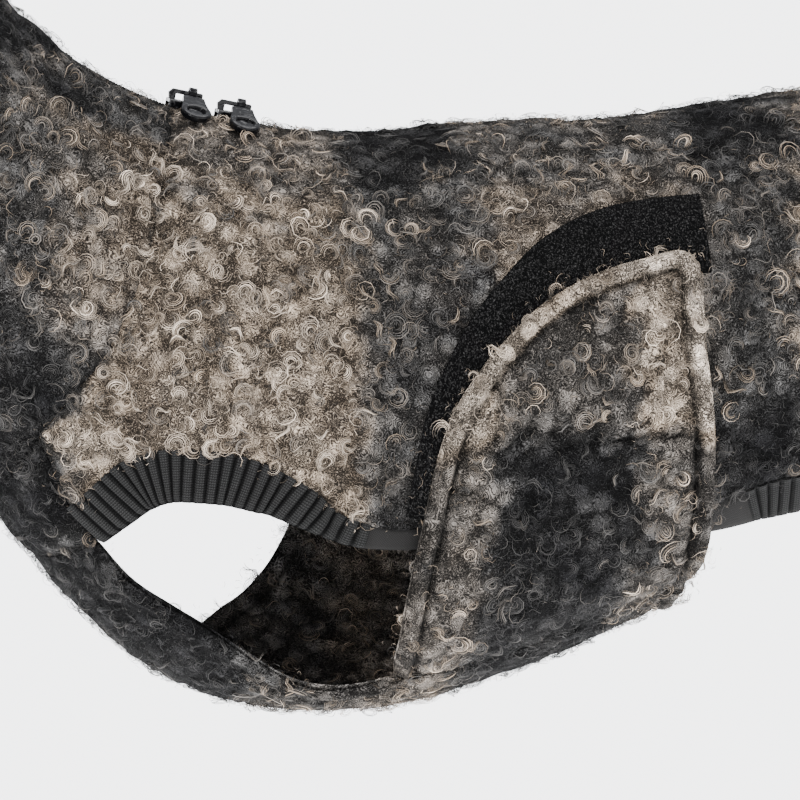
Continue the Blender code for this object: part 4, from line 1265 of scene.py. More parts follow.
class Relief:
    """Distances that lower or raise the cloth's outer face, and the lumps that make it uneven."""

    def __init__(self, rng: np.random.Generator) -> None:
        """Draw the waves of the lumps."""
        self.waves = Waves(rng, 28, 17 * MM, 6)

    def lumps(self, points: Array) -> Array:
        """Small uneven swellings, about -1 to 1."""
        return np.clip(self.waves.at(points), -1.2, 1.2)

    @staticmethod
    def run_length(points: Array, axis: int) -> Array:
        """Length on a grid of points from its first row (axis 0) or its first column (axis 1)."""
        steps = np.linalg.norm(np.diff(points, axis=axis), axis=-1)
        return np.pad(np.cumsum(steps, axis=axis), [(1, 0), (0, 0)] if axis == 0 else [(0, 0), (1, 0)])

    @classmethod
    def edge_gap(cls, points: Array, edges: Sequence[Edge], keep: Array = None) -> Array:
        """Straight distance from a grid's points to some of its edges.

        Args:
            points: grid of points.
            edges: the edges that count.
            keep: mask of the grid points that count as edge, if not all.
        Returns:
            Distances in metres.
        """
        parts = []
        for edge in edges:
            line = points[edge.value] if keep is None else points[edge.value][keep[edge.value]]
            fine = np.linspace(0, len(line) - 1, len(line) * 4)
            parts.append(np.column_stack([np.interp(fine, np.arange(len(line)), column)
                                          for column in line.T]))
        return cls.line_distance(points, np.concatenate(parts))

    @staticmethod
    def line_distance(points: Array, line: Array) -> Array:
        """Distance from points to the nearest of a line's dense points."""
        flat = points.reshape(-1, 3)
        nearest = np.full(len(flat), np.inf)
        for chunk in np.array_split(line, max(1, len(line) // 40)):
            gap = np.linalg.norm(flat[:, None] - chunk[None], axis=-1).min(axis=1)
            nearest = np.minimum(nearest, gap)
        return nearest.reshape(points.shape[:-1])

    @staticmethod
    def groove(distance: Array, width: float) -> Array:
        """1 on a line, falling as a bell to 0 beside it."""
        return np.exp(-(distance / width) ** 2)


# Curled pile ----------

@dataclass(frozen=True)
class LockKind:
    """Sizes of one kind of lock, in millimetres.

    A lock is a bundle of parallel strands, spaced by gap. radius and sweep, in turns, are its curl's, and
    rise is its height above the ground. A share of the locks, open, are double bends instead of rings.
    Where the pile is less full a lock is left out the sooner the greater shy is, and on the dark bands
    the share missing of them is left out.
    """

    strands: int
    steps: int
    half_width: tuple
    gap: tuple
    radius: tuple
    sweep: tuple
    rise: tuple
    open: float
    shy: float = 1.0
    missing: float = 0.0


RING_LOCK = LockKind(5, 9, (0.10, 0.19), (0.48, 0.80), (1.5, 3.3), (0.45, 0.95), (0.9, 2.4), 0.0, 1.0, 0.5)
WAVE_LOCK = LockKind(4, 6, (0.10, 0.20), (0.36, 0.62), (3.0, 5.2), (0.30, 0.55), (0.7, 2.0), 1.0, 1.0, 0.4)
LOOSE_HAIR = LockKind(1, 7, (0.07, 0.12), (0.0, 0.0), (1.6, 4.4), (0.30, 0.75), (1.0, 3.2), 0.40, 0.6)
SHORT_HAIR = LockKind(1, 4, (0.07, 0.12), (0.0, 0.0), (0.8, 2.3), (0.20, 0.45), (0.4, 1.7), 0.45, 0.3)


@dataclass
class Roots:
    """Where tufts stand: places, height of the ground there, paleness and how full the pile is.

    up is 1 on the cloth's outer face and -1 on its inner one.
    """

    places: Array
    ground: Array
    pale: Array
    full: Array
    up: float = 1.0

    def taken(self, mask: Array) -> "Roots":
        """Only the roots that a mask or an index names."""
        return Roots(self.places[mask], self.ground[mask], self.pale[mask], self.full[mask], self.up)


class Pile:
    """Grows curled locks from tufts all over a piece of cloth."""

    tries: int = 14                     # random spots for each cube of space
    faint: tuple = (0.08, 0.40)         # paleness over which the dark bands' missing locks come back
    width: tuple = (0.8, 1.15)
    tilt: float = 0.32
    growth: float = 0.75
    stray: float = 0.12                 # how far the strands of a lock differ
    sink: float = 0.3 * MM
    deepest: float = -0.9 * MM
    lean: float = 0.7
    shade: tuple = (0.30, 1.55)
    # painted shade near the ground: fibre brightness at the root, and the heights over which it rises to
    # full
    root_painted_shade_base: float = 0.20
    root_painted_shade_start: float = 0.4 * MM
    root_painted_shade_rise: float = 2.8 * MM
    # painted fill light: curls on the inner face are made brighter because they lie in shade
    inner_painted_fill: float = 1.6

    def __init__(self, form: WornForm, check: Check, rng: np.random.Generator) -> None:
        """Keep what the locks are worked out from."""
        self.form, self.check, self.rng = form, check, rng

    def roots(self, patches: Sequence[Patch], band_field: Field, full: Sequence[Array], spacing: float,
              inner: bool = False, border: Sequence[Array] = ()) -> Roots:
        """Tuft roots, one for each small cube of space that the cloth passes through.

        Args:
            patches: the cloth's grids, with the ground's height in high.
            band_field: which bands of the check it has.
            full: how full the pile is at each grid point.
            spacing: size of the cubes in metres.
            inner: whether they stand on the inner face.
            border: paleness added on each patch, if any.
        Returns:
            The roots in an even but irregular spread.
        """
        rng, found = self.rng, []
        for k, (patch, fullness) in enumerate(zip(patches, full)):
            base = patch.spread(patch.low if inner else patch.high)
            points = self.form.at(patch.places, base)
            a, b, c, d = points[:-1, :-1], points[1:, :-1], points[:-1, 1:], points[1:, 1:]
            area = np.linalg.norm(np.cross(d - a, c - b), axis=-1).ravel() / 2
            count = int(area.sum() / spacing**2 * self.tries)
            cell = rng.choice(len(area), count, p=area / area.sum())
            i, j = np.divmod(cell, points.shape[1] - 1)
            s, t = rng.uniform(size=(2, count))

            def mixed(values: Array) -> Array:
                """Values of the grid at the random spots."""
                u, v = (s[:, None], t[:, None]) if values.ndim == 3 else (s, t)
                return ((values[i, j] * (1 - u) + values[i + 1, j] * u) * (1 - v)
                        + (values[i, j + 1] * (1 - u) + values[i + 1, j + 1] * u) * v)

            keys = np.floor(mixed(points) / spacing + rng.uniform(size=3)).astype(int)
            _, keep = np.unique(keys, axis=0, return_index=True)
            i, j, s, t = i[keep], j[keep], s[keep], t[keep]
            places = mixed(patch.places)
            pale = self.check.paleness(places, band_field)
            if border:
                pale = np.clip(pale + mixed(border[k]), 0, 1)
            found.append((places, mixed(base), pale, mixed(patch.spread(fullness))))
        return Roots(*(np.concatenate(part) for part in zip(*found)), -1.0 if inner else 1.0)

    def _bend(self, kind: LockKind, size: Array) -> tuple:
        """Middle lines of every lock's strands, across the cloth and above it.

        A ring runs round its centre at a radius that grows slowly; an open lock is a double bend. Its
        height rises as half a sine and comes back, its bundle is crowned and the whole of it is tilted.

        Args:
            kind: the locks' sizes.
            size: scale of each lock.
        Returns:
            Positions a and b on the cloth and height, each as (lock, strand, step), in metres.
        """
        rng, count = self.rng, len(size)
        column = (count, 1, 1)

        def drawn(bounds: tuple, scale: float = MM) -> Array:
            """One random size for each lock."""
            return rng.uniform(*bounds, size=column) * scale

        size = size[:, None, None]
        t = np.linspace(0, 1, kind.steps)[None, None, :]
        rank = np.linspace(-1, 1, kind.strands) if kind.strands > 1 else np.zeros(1)
        rank = rank[None, :, None]
        loose = rng.normal(size=(count, kind.strands, 1))
        hand = rng.choice([-1.0, 1.0], size=column)
        phase = rng.uniform(0, 2 * math.pi, size=column) + loose * 0.16
        radius = drawn(kind.radius) * size
        bundle = drawn(kind.gap) * size * (kind.strands - 1) / 2
        turn = phase + hand * drawn(kind.sweep, 2 * math.pi) * (1 + self.stray * loose) * (t - 0.5)
        growth = (radius + rank * bundle) * (1 + drawn((-self.growth, self.growth), 1) * (t - 0.5))
        growth = growth + loose * 0.10 * MM
        swing = radius * drawn((0.22, 0.5), 1) * np.sin(2 * math.pi * (t - 0.1) * 0.9) * hand
        swing = swing + rank * bundle * (0.55 + 0.45 * np.sin(math.pi * t)) + loose * 0.12 * MM
        run = radius * 2.0 * (t - 0.5) * (1 + 0.07 * loose)
        opened = (rng.uniform(size=column) < kind.open).astype(float)
        a = growth * np.cos(turn) * (1 - opened) + (run * np.cos(phase) - swing * np.sin(phase)) * opened
        b = growth * np.sin(turn) * (1 - opened) + (run * np.sin(phase) + swing * np.cos(phase)) * opened
        tilt_a, tilt_b = rng.uniform(-self.tilt, self.tilt, size=(2, count, 1, 1))
        height = drawn(kind.rise) * size * np.sin(math.pi * t) ** 0.6 * (1 + self.stray * loose)
        height = height + a * tilt_a + b * tilt_b + (1 - rank**2) * bundle * 0.45 - self.sink
        return a, b, height

    def _ribbons(self, middle: Sequence[Array], roots: Roots, size: Array, widths: tuple) -> tuple:
        """Ribbons along the strands, leaning to a side of their own, laid on the form from their roots.

        Args:
            middle: a, b and height of the strands' middle lines, each as (strand, step).
            roots: each strand's root.
            size: scale of each strand, as a column.
            widths: bounds of their half width in millimetres.
        Returns:
            Points as (strand, step, edge, xyz), and the edges' heights above the ground.
        """
        a, b, height = middle
        t = np.linspace(0, 1, a.shape[1])[None, :]
        da, db = np.gradient(a, axis=1), np.gradient(b, axis=1)
        norm = np.maximum(np.hypot(da, db), 1e-9)
        half = self.rng.uniform(*widths, size=size.shape) * MM * size
        half = half * (0.35 + 0.65 * np.sin(math.pi * t) ** 0.6)
        lean = self.rng.uniform(-self.lean, self.lean, size=size.shape)
        edge = np.array([-1.0, 1.0])
        flat = (half * np.cos(lean))[..., None] * edge
        lift = np.maximum(height[..., None] + (half * np.sin(lean))[..., None] * edge, self.deepest)
        points_a = a[..., None] - (db / norm)[..., None] * flat
        points_b = b[..., None] + (da / norm)[..., None] * flat
        place, ground = roots.places, roots.ground[:, None, None]
        along = unit(self.form.look_up(self.form.along, place))
        cross = np.cross(self.form.outward(place), along)
        step = points_a[..., None] * along[:, None, None] + points_b[..., None] * cross[:, None, None]
        laid = self.form.walk(np.broadcast_to(place[:, None, None], step.shape[:-1] + (2,)), step)
        return self.form.at(laid, ground + lift * roots.up), lift

    def _colours(self, pale: Array, tuft: Array, line: Array, lift: Array, painted_fill: float) -> Array:
        """Fibre colour of every ribbon point: uneven by tuft, lock and strand, with painted shade near the
        ground.

        Args:
            pale, tuft: each lock's paleness on the check, and its tuft's own unevenness.
            line: each strand's lock.
            lift: heights above the ground.
            painted_fill: how much brighter the whole is: painted fill light where the inner curls lie in
                shade.
        Returns:
            Colours as (strand, step, edge, rgb).
        """
        rng, count = self.rng, len(pale)
        uneven = 0.06 + 0.14 * pale
        level = pale + tuft * uneven + rng.normal(size=count) * uneven
        level = level + 0.22 * (rng.uniform(size=count) < 0.06)
        level = np.clip(level[line] + np.abs(rng.normal(size=len(line))) * 0.12 - 0.04, 0, 1)
        shade = rng.uniform(*self.shade, size=(len(line), 1, 1, 1))
        # painted shade: fibre is darker the nearer it lies to the ground, where the locks shade each other
        light = self.root_painted_shade_base + np.clip((lift + self.root_painted_shade_start) / self.root_painted_shade_rise, 0, 1)[..., None]
        return self.check.colour(level)[:, None, None] * shade * light * painted_fill

    def locks(self, roots: Roots, per_tuft: float, kind: LockKind, spread: float) -> tuple:
        """Locks of one kind round every root, laid on the form by walking from the root.

        Args:
            roots: the tufts.
            per_tuft: mean number of locks on each.
            kind: their sizes.
            spread: how far from the root a lock's centre may lie, in metres.
        Returns:
            Points, quads, cloth coordinates and colours.
        """
        rng = self.rng
        pick = rng.permutation(np.repeat(np.arange(len(roots.places)), max(1, math.ceil(per_tuft))))
        pick = pick[:int(len(roots.places) * per_tuft)]
        missing = kind.missing * (1 - smooth_step(roots.pale[pick], *self.faint))
        chance = roots.full[pick] ** kind.shy * (1 - missing)
        pick = pick[rng.uniform(size=len(pick)) < chance]
        tuft = rng.normal(size=len(roots.places))[pick]
        count = len(pick)
        size = (0.5 + 0.5 * roots.full[pick]) * rng.uniform(*self.width, size=count)
        a, b, height = self._bend(kind, size)
        shift = rng.normal(size=(2, count, 1, 1)) * spread
        middle = [part.reshape(-1, kind.steps) for part in (a + shift[0], b + shift[1], height)]
        line = np.repeat(np.arange(count), kind.strands)
        points, lift = self._ribbons(middle, roots.taken(pick[line]), size[line, None], kind.half_width)
        first = np.arange(len(line)) * kind.steps * 2
        quads = MeshMaker.grid_quads(kind.steps, 2)[None] + first[:, None, None]
        quads = quads.reshape(-1, 4)[:, ::-1] if roots.up > 0 else quads.reshape(-1, 4)
        uv = np.empty(points.shape[:-1] + (2,))
        uv[..., 0] = np.array([0.0, 2.0]) + rng.uniform(0, 40, size=(len(line), 1, 1))
        uv[..., 1] = np.linspace(0, 8, kind.steps)[:, None] + rng.uniform(0, 40, size=(len(line), 1, 1))
        colour = self._colours(roots.pale[pick], tuft, line, lift, 1.0 if roots.up > 0 else self.inner_painted_fill)
        return points.reshape(-1, 3), quads, uv.reshape(-1, 2), colour.reshape(-1, 3)

    def build(self, name: str, roots: Roots, material: bpy.types.Material,
              mixture: Sequence[tuple]) -> bpy.types.Object:
        """One mesh of every lock on some roots.

        Args:
            name: the piece's name.
            roots: the tufts.
            material: its finish.
            mixture: kinds of lock, with how many there are on a tuft and how far they spread.
        Returns:
            The object.
        """
        parts = [self.locks(roots, per_tuft, kind, spread) for kind, per_tuft, spread in mixture]
        points, quads, uv, tone = zip(*parts)
        first = np.cumsum([0] + [len(part) for part in points[:-1]])
        return MeshMaker.make(name, np.concatenate(points),
                              np.concatenate([part + start for part, start in zip(quads, first)]),
                              material, np.concatenate(uv), np.concatenate(tone))


# Sub-assemblies ----------

@dataclass
class Workshop:
    """What every sub-assembly works with."""

    form: WornForm
    cloth: Cloth
    pattern: Pattern
    check: Check
    relief: Relief
    pile: Pile
    finishes: dict
    body: str = "coat"
    lump: float = 0.8 * MM
    edge_radius: float = 3.0 * MM
    edge_height: float = 0.25
    seam_depth: float = 2.0 * MM
    seam_width: float = 4.5 * MM
    thinnest: float = 1.2 * MM

    def report(self, piece: bpy.types.Object) -> None:
        """Log a finished piece."""
        triangles = sum(len(p.vertices) - 2 for p in piece.data.polygons)
        LOG.info("%s: %d triangles", piece.name, triangles)

    def fit(self, piece: bpy.types.Object, slot: str, *nodes: str) -> bpy.types.Object:
        """Let a piece ride on the coat and stand for nodes."""
        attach(piece, self.body)
        if nodes:
            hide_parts(*nodes)
        self.report(piece)
        return piece

    def rolled(self, distance: Array, radius: float) -> Array:
        """Share of its height that cloth keeps at a distance from an edge rolled over a radius."""
        return self.edge_height + (1 - self.edge_height) * quarter_round(distance, radius)

    def ground(self, patch: Patch, free: Array, seam: Array) -> Array:
        """Outer face of the woven ground: lumpy, rounded over at free edges and sunk along seams.

        Args:
            patch: its places and the cloth's full height.
            free, seam: distances from free edges and from seams.
        Returns:
            The face's offsets.
        """
        lumps = self.relief.lumps(self.form.at(patch.places, patch.high)) * self.lump
        sunk = self.seam_depth * Relief.groove(seam, self.seam_width)
        height = np.maximum(patch.high - self.cloth.ground_drop + lumps - sunk, patch.low + self.thinnest)
        return patch.low + (height - patch.low) * self.rolled(free, self.edge_radius)


@dataclass
class CurledPanel:
    """A cloth piece with its ground and its curls."""

    shop: Workshop
    name: str
    flat: tuple
    area: float
    rests_on: tuple
    split: int = 2
    spacing: float = 8.8 * MM
    inner_spacing: float = 1.3
    groove_painted_shade: float = 0.85
    mixture: tuple = ((RING_LOCK, 0.85, 1.8 * MM), (WAVE_LOCK, 0.6, 2.2 * MM),
                      (LOOSE_HAIR, 1.7, 3.0 * MM), (SHORT_HAIR, 9.0, 3.4 * MM))

    def build(self, patches: Sequence[Patch], band_field: Field, full: Sequence[Array],
              shade: Sequence[Array], inside: Sequence[Array] = (), border: Sequence[Array] = ()) -> None:
        """Ground shell, then the curls in pieces from front to rear.

        Args:
            patches: the cloth's grids with the ground's outer face in high.
            band_field: the check's bands on it.
            full: how full the pile is on each.
            shade: how much painted shade darkens the grooves of seams and stitches on each.
            inside: how full it is on the inner face of each, if there is any.
            border: paleness added on each, if any.
        """
        shop = self.shop
        shell = Shell(shop.form, patches)
        level = shell.gathered([shop.check.paleness(patch.places, band_field) for patch in patches])
        if border:
            level = level + shell.gathered(border)
        tone = shop.check.colour(np.clip(level, 0, 1))
        # painted shade: the tone is darkened in the grooves of seams and stitch rows
        tone = tone * (1 - self.groove_painted_shade * shell.gathered(shade))[:, None]
        cloth = shop.fit(shell.build(self.name + "_cloth", shop.finishes["ground"], tone), "wool_cloth",
                         self.name)
        roots = shop.pile.roots(patches, band_field, full, self.spacing, border=border)
        order = np.argsort(shop.form.at(roots.places)[:, 0])
        curls = [self._curls(f"curls_{k + 1}", roots.taken(part))
                 for k, part in enumerate(np.array_split(order, self.split))]
        if inside:
            roots = shop.pile.roots(patches, band_field, inside, self.spacing * self.inner_spacing, True)
            curls.append(self._curls("inner_curls", roots.taken(roots.full > 0.02)))

    def _curls(self, part: str, roots: Roots) -> bpy.types.Object:
        """The curls on some roots, as a piece of their own."""
        piece = self.shop.pile.build(f"{self.name}_{part}", roots, self.shop.finishes["curls"], self.mixture)
        return self.shop.fit(piece, "wool_cloth")


@dataclass
class Coat:
    """Builds every cloth piece of the coat."""

    shop: Workshop
    bare_edge: tuple = (-1.0 * MM, 2.5 * MM)
    pull_length: tuple = (2 * MM, 21 * MM)
    pull_width: tuple = (7.5 * MM, 11 * MM)
    pull_press: float = 0.93
    band_press: tuple = (3.0 * MM, 5.4 * MM)
    stitch_width: float = 1.5 * MM
    stitch_depth: float = 2.3 * MM
    hem_rise: float = 1.3
    hem_thinnest: float = 0.8 * MM
    hem_bare: tuple = (-2.0 * MM, 1.5 * MM)
    hem_full: tuple = (0.60, 0.32)
    hem_pale: tuple = (6.5 * MM, 9.0 * MM)
    hem_pale_girth: tuple = (148 * MM, 166 * MM)
    inside_shows: tuple = (7.3, 8.0)
    rib_pitch: float = 5.2 * MM
    rib_height: tuple = (1.6 * MM, 1.7 * MM)
    rib_roll: float = 2.4 * MM
    trim_low: float = 0.6 * MM
    trim_tuck: float = 1.2 * MM
    facing_height: float = 2.2 * MM
    facing_overlap: float = 0.03
    facing_tuck: float = 1.0 * MM

    def _fullness(self, free: Array, seam: Array) -> Array:
        """How full the pile is: bare at free edges and thinner in a seam's groove."""
        return smooth_step(free, *self.bare_edge) * (1 - 0.6 * Relief.groove(seam, 2.2 * MM))

    def _seam_painted_shade(self, seam: Array) -> Array:
        """How much painted shade darkens a seam's groove."""
        return 0.55 * Relief.groove(seam, 2.4 * MM)

    def build_back(self) -> None:
        """Both halves of the back panel."""
        shop = self.shop
        patch = shop.pattern.back()
        points, station = shop.form.at(patch.places, patch.high), patch.places[..., 0]
        parted = (station > ZIP_START) & (station < ZIP_END)
        free = Relief.edge_gap(points, (Edge.BOTTOM, Edge.REAR))
        seam = Relief.edge_gap(points, (Edge.FRONT, Edge.TOP))
        zip_gap = Relief.edge_gap(points, (Edge.TOP,), parted)
        for side in Side:
            here = Patch(side.turned(patch.places), patch.low, patch.high)
            here.high = shop.ground(here, np.minimum(free, zip_gap), seam)
            full = self._fullness(free, seam) * (1 - self._under_band(here.places, side))
            if side is Side.RIGHT:
                full = full * (1 - self.pull_press * self._under_pulls(here.places))
            panel = CurledPanel(shop, "back_" + side.value, (0.225, 0.435), 0.0858, ("neck_chest_cloth",))
            panel.build([here], Field.BACK, [full], [self._seam_painted_shade(seam)])

    def _under_pulls(self, places: Array) -> Array:
        """1 where a pull that is swung over lies on the pile."""
        form, masks = self.shop.form, []
        for _, station, *_ in Fastenings.sliders:
            line = np.column_stack([np.full(12, station + 0.05), np.zeros(12)])
            line[:, 1] = -np.linspace(*self.pull_length, 12) / form.slope_round(line)
            gap = Relief.line_distance(form.at(places), form.at(line))
            masks.append(1 - smooth_step(gap, *self.pull_width))
        return np.maximum(*masks)

    def _under_band(self, places: Array, side: Side) -> Array:
        """1 where the loop band presses the pile flat."""
        band = side.turned(self.shop.pattern.band(np.linspace(0, 1, 90), np.linspace(0.0, 1.0, 16)))
        line = self.shop.form.at(band).reshape(-1, 3)
        return 1 - smooth_step(Relief.line_distance(self.shop.form.at(places), line), *self.band_press)

    def build_neck(self) -> None:
        """Neck and chest."""
        shop = self.shop
        neck, chest = shop.pattern.neck()
        points, share = shop.form.at(neck.places, neck.high), neck.places[..., 1]
        sewn = from_back(share) < NECK_SEAM[-1][1]
        parted = neck.places[..., 0] > ZIP_START
        sides = (Edge.TOP, Edge.BOTTOM)
        gaps = [(np.minimum(Relief.edge_gap(points, (Edge.FRONT,)), Relief.edge_gap(points, sides, parted)),
                 np.minimum(Relief.edge_gap(points, (Edge.REAR,), sewn), Relief.edge_gap(points, sides)))]
        points, low_down = shop.form.at(chest.places, chest.high), chest.places[..., 0] > CHEST_SIDE[-1][0]
        ends = (Edge.FRONT, Edge.REAR)
        gaps.append((Relief.edge_gap(points, ends, low_down), Relief.edge_gap(points, (*ends, Edge.BOTTOM))))
        for patch, (free, seam) in zip((neck, chest), gaps):
            patch.high = shop.ground(patch, free, seam)
        CurledPanel(shop, "neck_chest", (0.46, 0.27), 0.0688, ("back_left_cloth",)).build(
            [neck, chest], Field.NECK, [self._fullness(*pair) for pair in gaps],
            [self._seam_painted_shade(seam) for _, seam in gaps])

    def _hem_gaps(self, patches: Sequence[Patch]) -> list:
        """Distances of the strap's and both flaps' points from free edges, seams and stitch rows.

        Args:
            patches: the belly panel's, from the pattern.
        Returns:
            For each patch the free gap, the seam gap and 1 on a stitch row falling to 0 beside it.
        """
        shop, found = self.shop, []
        strap, *flaps = patches
        points = shop.form.at(strap.places, strap.high)
        station, share = strap.places[..., 0], strap.places[..., 1]
        loose = np.where(share < 1, station < FLAPS[Side.LEFT].corner, station < FLAPS[Side.RIGHT].corner)
        free = np.minimum(Relief.edge_gap(points, (Edge.TOP, Edge.BOTTOM), loose),
                          Relief.edge_gap(points, (Edge.REAR,)))
        hem = shop.pattern.hem_inset
        stitch = Relief.groove(free - hem, self.stitch_width)
        found.append((free, Relief.edge_gap(points, (Edge.FRONT,)), stitch))
        for side, patch in zip(Side, flaps):
            points = shop.form.at(patch.places, patch.high)
            free = Relief.edge_gap(points, (Edge.FRONT, Edge.REAR, Edge.BOTTOM))
            stitch = Relief.groove(free - hem, self.stitch_width)
            for rows in CROSS_STITCHES:
                line = side.turned(shop.pattern.lines.smooth(rows))
                line = shop.form.at(line, shop.cloth.flap_lift + shop.cloth.pile)
                gap = Relief.line_distance(points, line)
                stitch = np.maximum(stitch, Relief.groove(gap, self.stitch_width))
            found.append((free, np.full(free.shape, 1.0), stitch))
        return found

    def build_belly(self) -> None:
        """Strap, belly and both flaps, with hems and stitch rows."""
        shop = self.shop
        patches = shop.pattern.belly()
        hem = shop.pattern.hem_inset
        fulls, insides, borders, shades = [], [], [], []
        for patch, (free, seam, stitch) in zip(patches, self._hem_gaps(patches)):
            rise = shop.cloth.hem * np.clip(1 - (free / hem - 0.5) ** 2 * 4, 0, 1) ** 0.5
            patch.high = patch.high + rise * self.hem_rise
            patch.high = np.maximum(shop.ground(patch, free, seam) - self.stitch_depth * stitch,
                                    patch.low + self.hem_thinnest)
            full = smooth_step(free, *self.hem_bare) * (1 - np.clip(stitch * 1.8, 0, 1))
            pale = 0.0 * free
            if patch is not patches[0]:
                least, more = self.hem_full
                full = full * (least + more * smooth_step(free, hem + 1.5 * MM, hem + 5.0 * MM))
                girth = shop.form.girth(patch.places)
                pale = 0.40 * (1 - smooth_step(free, *self.hem_pale))
                pale = pale * (1 - smooth_step(girth, *self.hem_pale_girth))
            ahead = 1 - smooth_step(patch.places[..., 0], *self.inside_shows)
            fulls.append(full)
            # the stitch rows get painted shade in their grooves as well
            shades.append(stitch)
            borders.append(pale)
            insides.append(smooth_step(free, 0.0, 3.0 * MM) * ahead * 0.9)
        panel = CurledPanel(shop, "belly_panel", (0.56, 0.30), 0.0709,
                            ("back_left_cloth", "back_right_cloth"))
        panel.build(patches, Field.FLAPS, fulls, shades, insides, borders)

    def _strip_uv(self, shell: Shell) -> Array:
        """Cloth coordinates of a strip's places: metres along it and across it."""
        points = self.shop.form.at(shell.patches[0].places)
        along = Relief.run_length(points, 0)[:, :1]
        return np.column_stack([shell.gathered([along]), shell.gathered([Relief.run_length(points, 1)])])

    def _rib_strip(self, name: str, patch: Patch, repeats: int) -> None:
        """A ribbed strip: raised ribs across it, and a free edge that rolls in.

        Args:
            name: the node that it stands for.
            patch: its places, with its widths in high.
            repeats: ribs along it.
        """
        shop = self.shop
        rows, columns = patch.places.shape[:2]
        along = np.linspace(0, repeats, rows)[:, None]
        across = np.linspace(0, 1, columns)[None, :]
        rib = smooth_step(0.5 - 0.5 * np.cos(2 * math.pi * along), 0.0, 0.34)
        edge = np.minimum(across * 2 + 0.12, 1 - across) * patch.high
        valley, crest = self.rib_height
        high = self.trim_low + (valley + crest * rib) * shop.rolled(edge, self.rib_roll)
        shell = Shell(shop.form, [Patch(patch.places, np.full_like(high, 0.5 * MM), high)])
        # painted shade: the tone darkens toward the valleys between the ribs
        tone = np.repeat(shell.gathered([0.05 + 0.95 * rib**1.5])[:, None], 3, axis=1)
        made = shop.fit(shell.build(name + "_knit", shop.finishes["rib"], tone, self._strip_uv(shell)),
                        "rib_knit", name)

    def build_ribs(self) -> None:
        """Armhole ribs, and the one hem rib from side to side."""
        pattern = self.shop.pattern
        length = pattern.trim_length(None, RIB_STOP)
        repeats = round(length / self.rib_pitch)
        strip = pattern.trim(None, RIB_STOP, np.linspace(0, 1, repeats * 8 + 1), np.linspace(0, 1, 11),
                             self.trim_tuck)
        for side in Side:
            patch = Patch(side.turned(strip.places), strip.low, strip.high)
            self._rib_strip("armhole_rib_" + side.value, patch, repeats)
        length = pattern.trim_length(HEM_RIB_START, None)
        half = round(length / self.rib_pitch)
        strip = pattern.trim(HEM_RIB_START, None, np.linspace(0, 1, half * 7 + 1), np.linspace(0, 1, 8),
                             self.trim_tuck)
        places = np.concatenate([strip.places, mirrored(strip.places)[::-1][1:]])
        widths = np.concatenate([strip.high, strip.high[::-1][1:]])
        patch = Patch(places, widths, widths)
        self._rib_strip("hem_rib", patch, half * 2)

    def build_facings(self) -> None:
        """Smooth facing between the ribs on each side, running on under both."""
        shop = self.shop
        across = np.array([0, 0.08, 0.2, 0.5, 0.8, 0.92, 1.0])
        height = self.trim_low + self.facing_height * np.array([0.5, 0.85, 1, 1, 1, 0.85, 0.5])
        strip = shop.pattern.trim(RIB_STOP - self.facing_overlap, HEM_RIB_START + self.facing_overlap,
                                  np.linspace(0, 1, 40), across, self.facing_tuck)
        for side in Side:
            patch = Patch(side.turned(strip.places), self.trim_low, height[None, :])
            shell = Shell(shop.form, [patch])
            name = "side_binding_" + side.value
            made = shell.build(name + "_facing", shop.finishes["facing"], uv=self._strip_uv(shell))
            shop.fit(made, "facing", name)

    def build_bands(self) -> None:
        """Loop bands with their sewn edges pressed down."""
        shop = self.shop
        base = shop.cloth.pile + shop.cloth.layer
        across = np.concatenate([[0, 0.02, 0.05, 0.08, 0.12], np.linspace(0.24, 0.76, 6),
                                 [0.88, 0.92, 0.95, 0.98, 1]])
        places = shop.pattern.band(np.linspace(0, 1, 72), across)
        margin = np.minimum(across, 1 - across) * shop.pattern.band_millimetres
        profile = smooth_step(margin, -0.6, 1.2) - 0.45 * np.exp(-((margin - 2.4) / 0.55) ** 2)
        for side in Side:
            here = side.turned(places)
            lumps = shop.relief.lumps(shop.form.at(here)) * 0.25 * MM
            high = base + shop.cloth.band * (0.25 + 0.75 * profile)[None, :] + lumps
            shell = Shell(shop.form, [Patch(here, base - 0.4 * MM, high)])
            name = "loop_band_" + side.value
            made = shop.fit(shell.build(name + "_nap", shop.finishes["loop"]), "loop_tape", name)


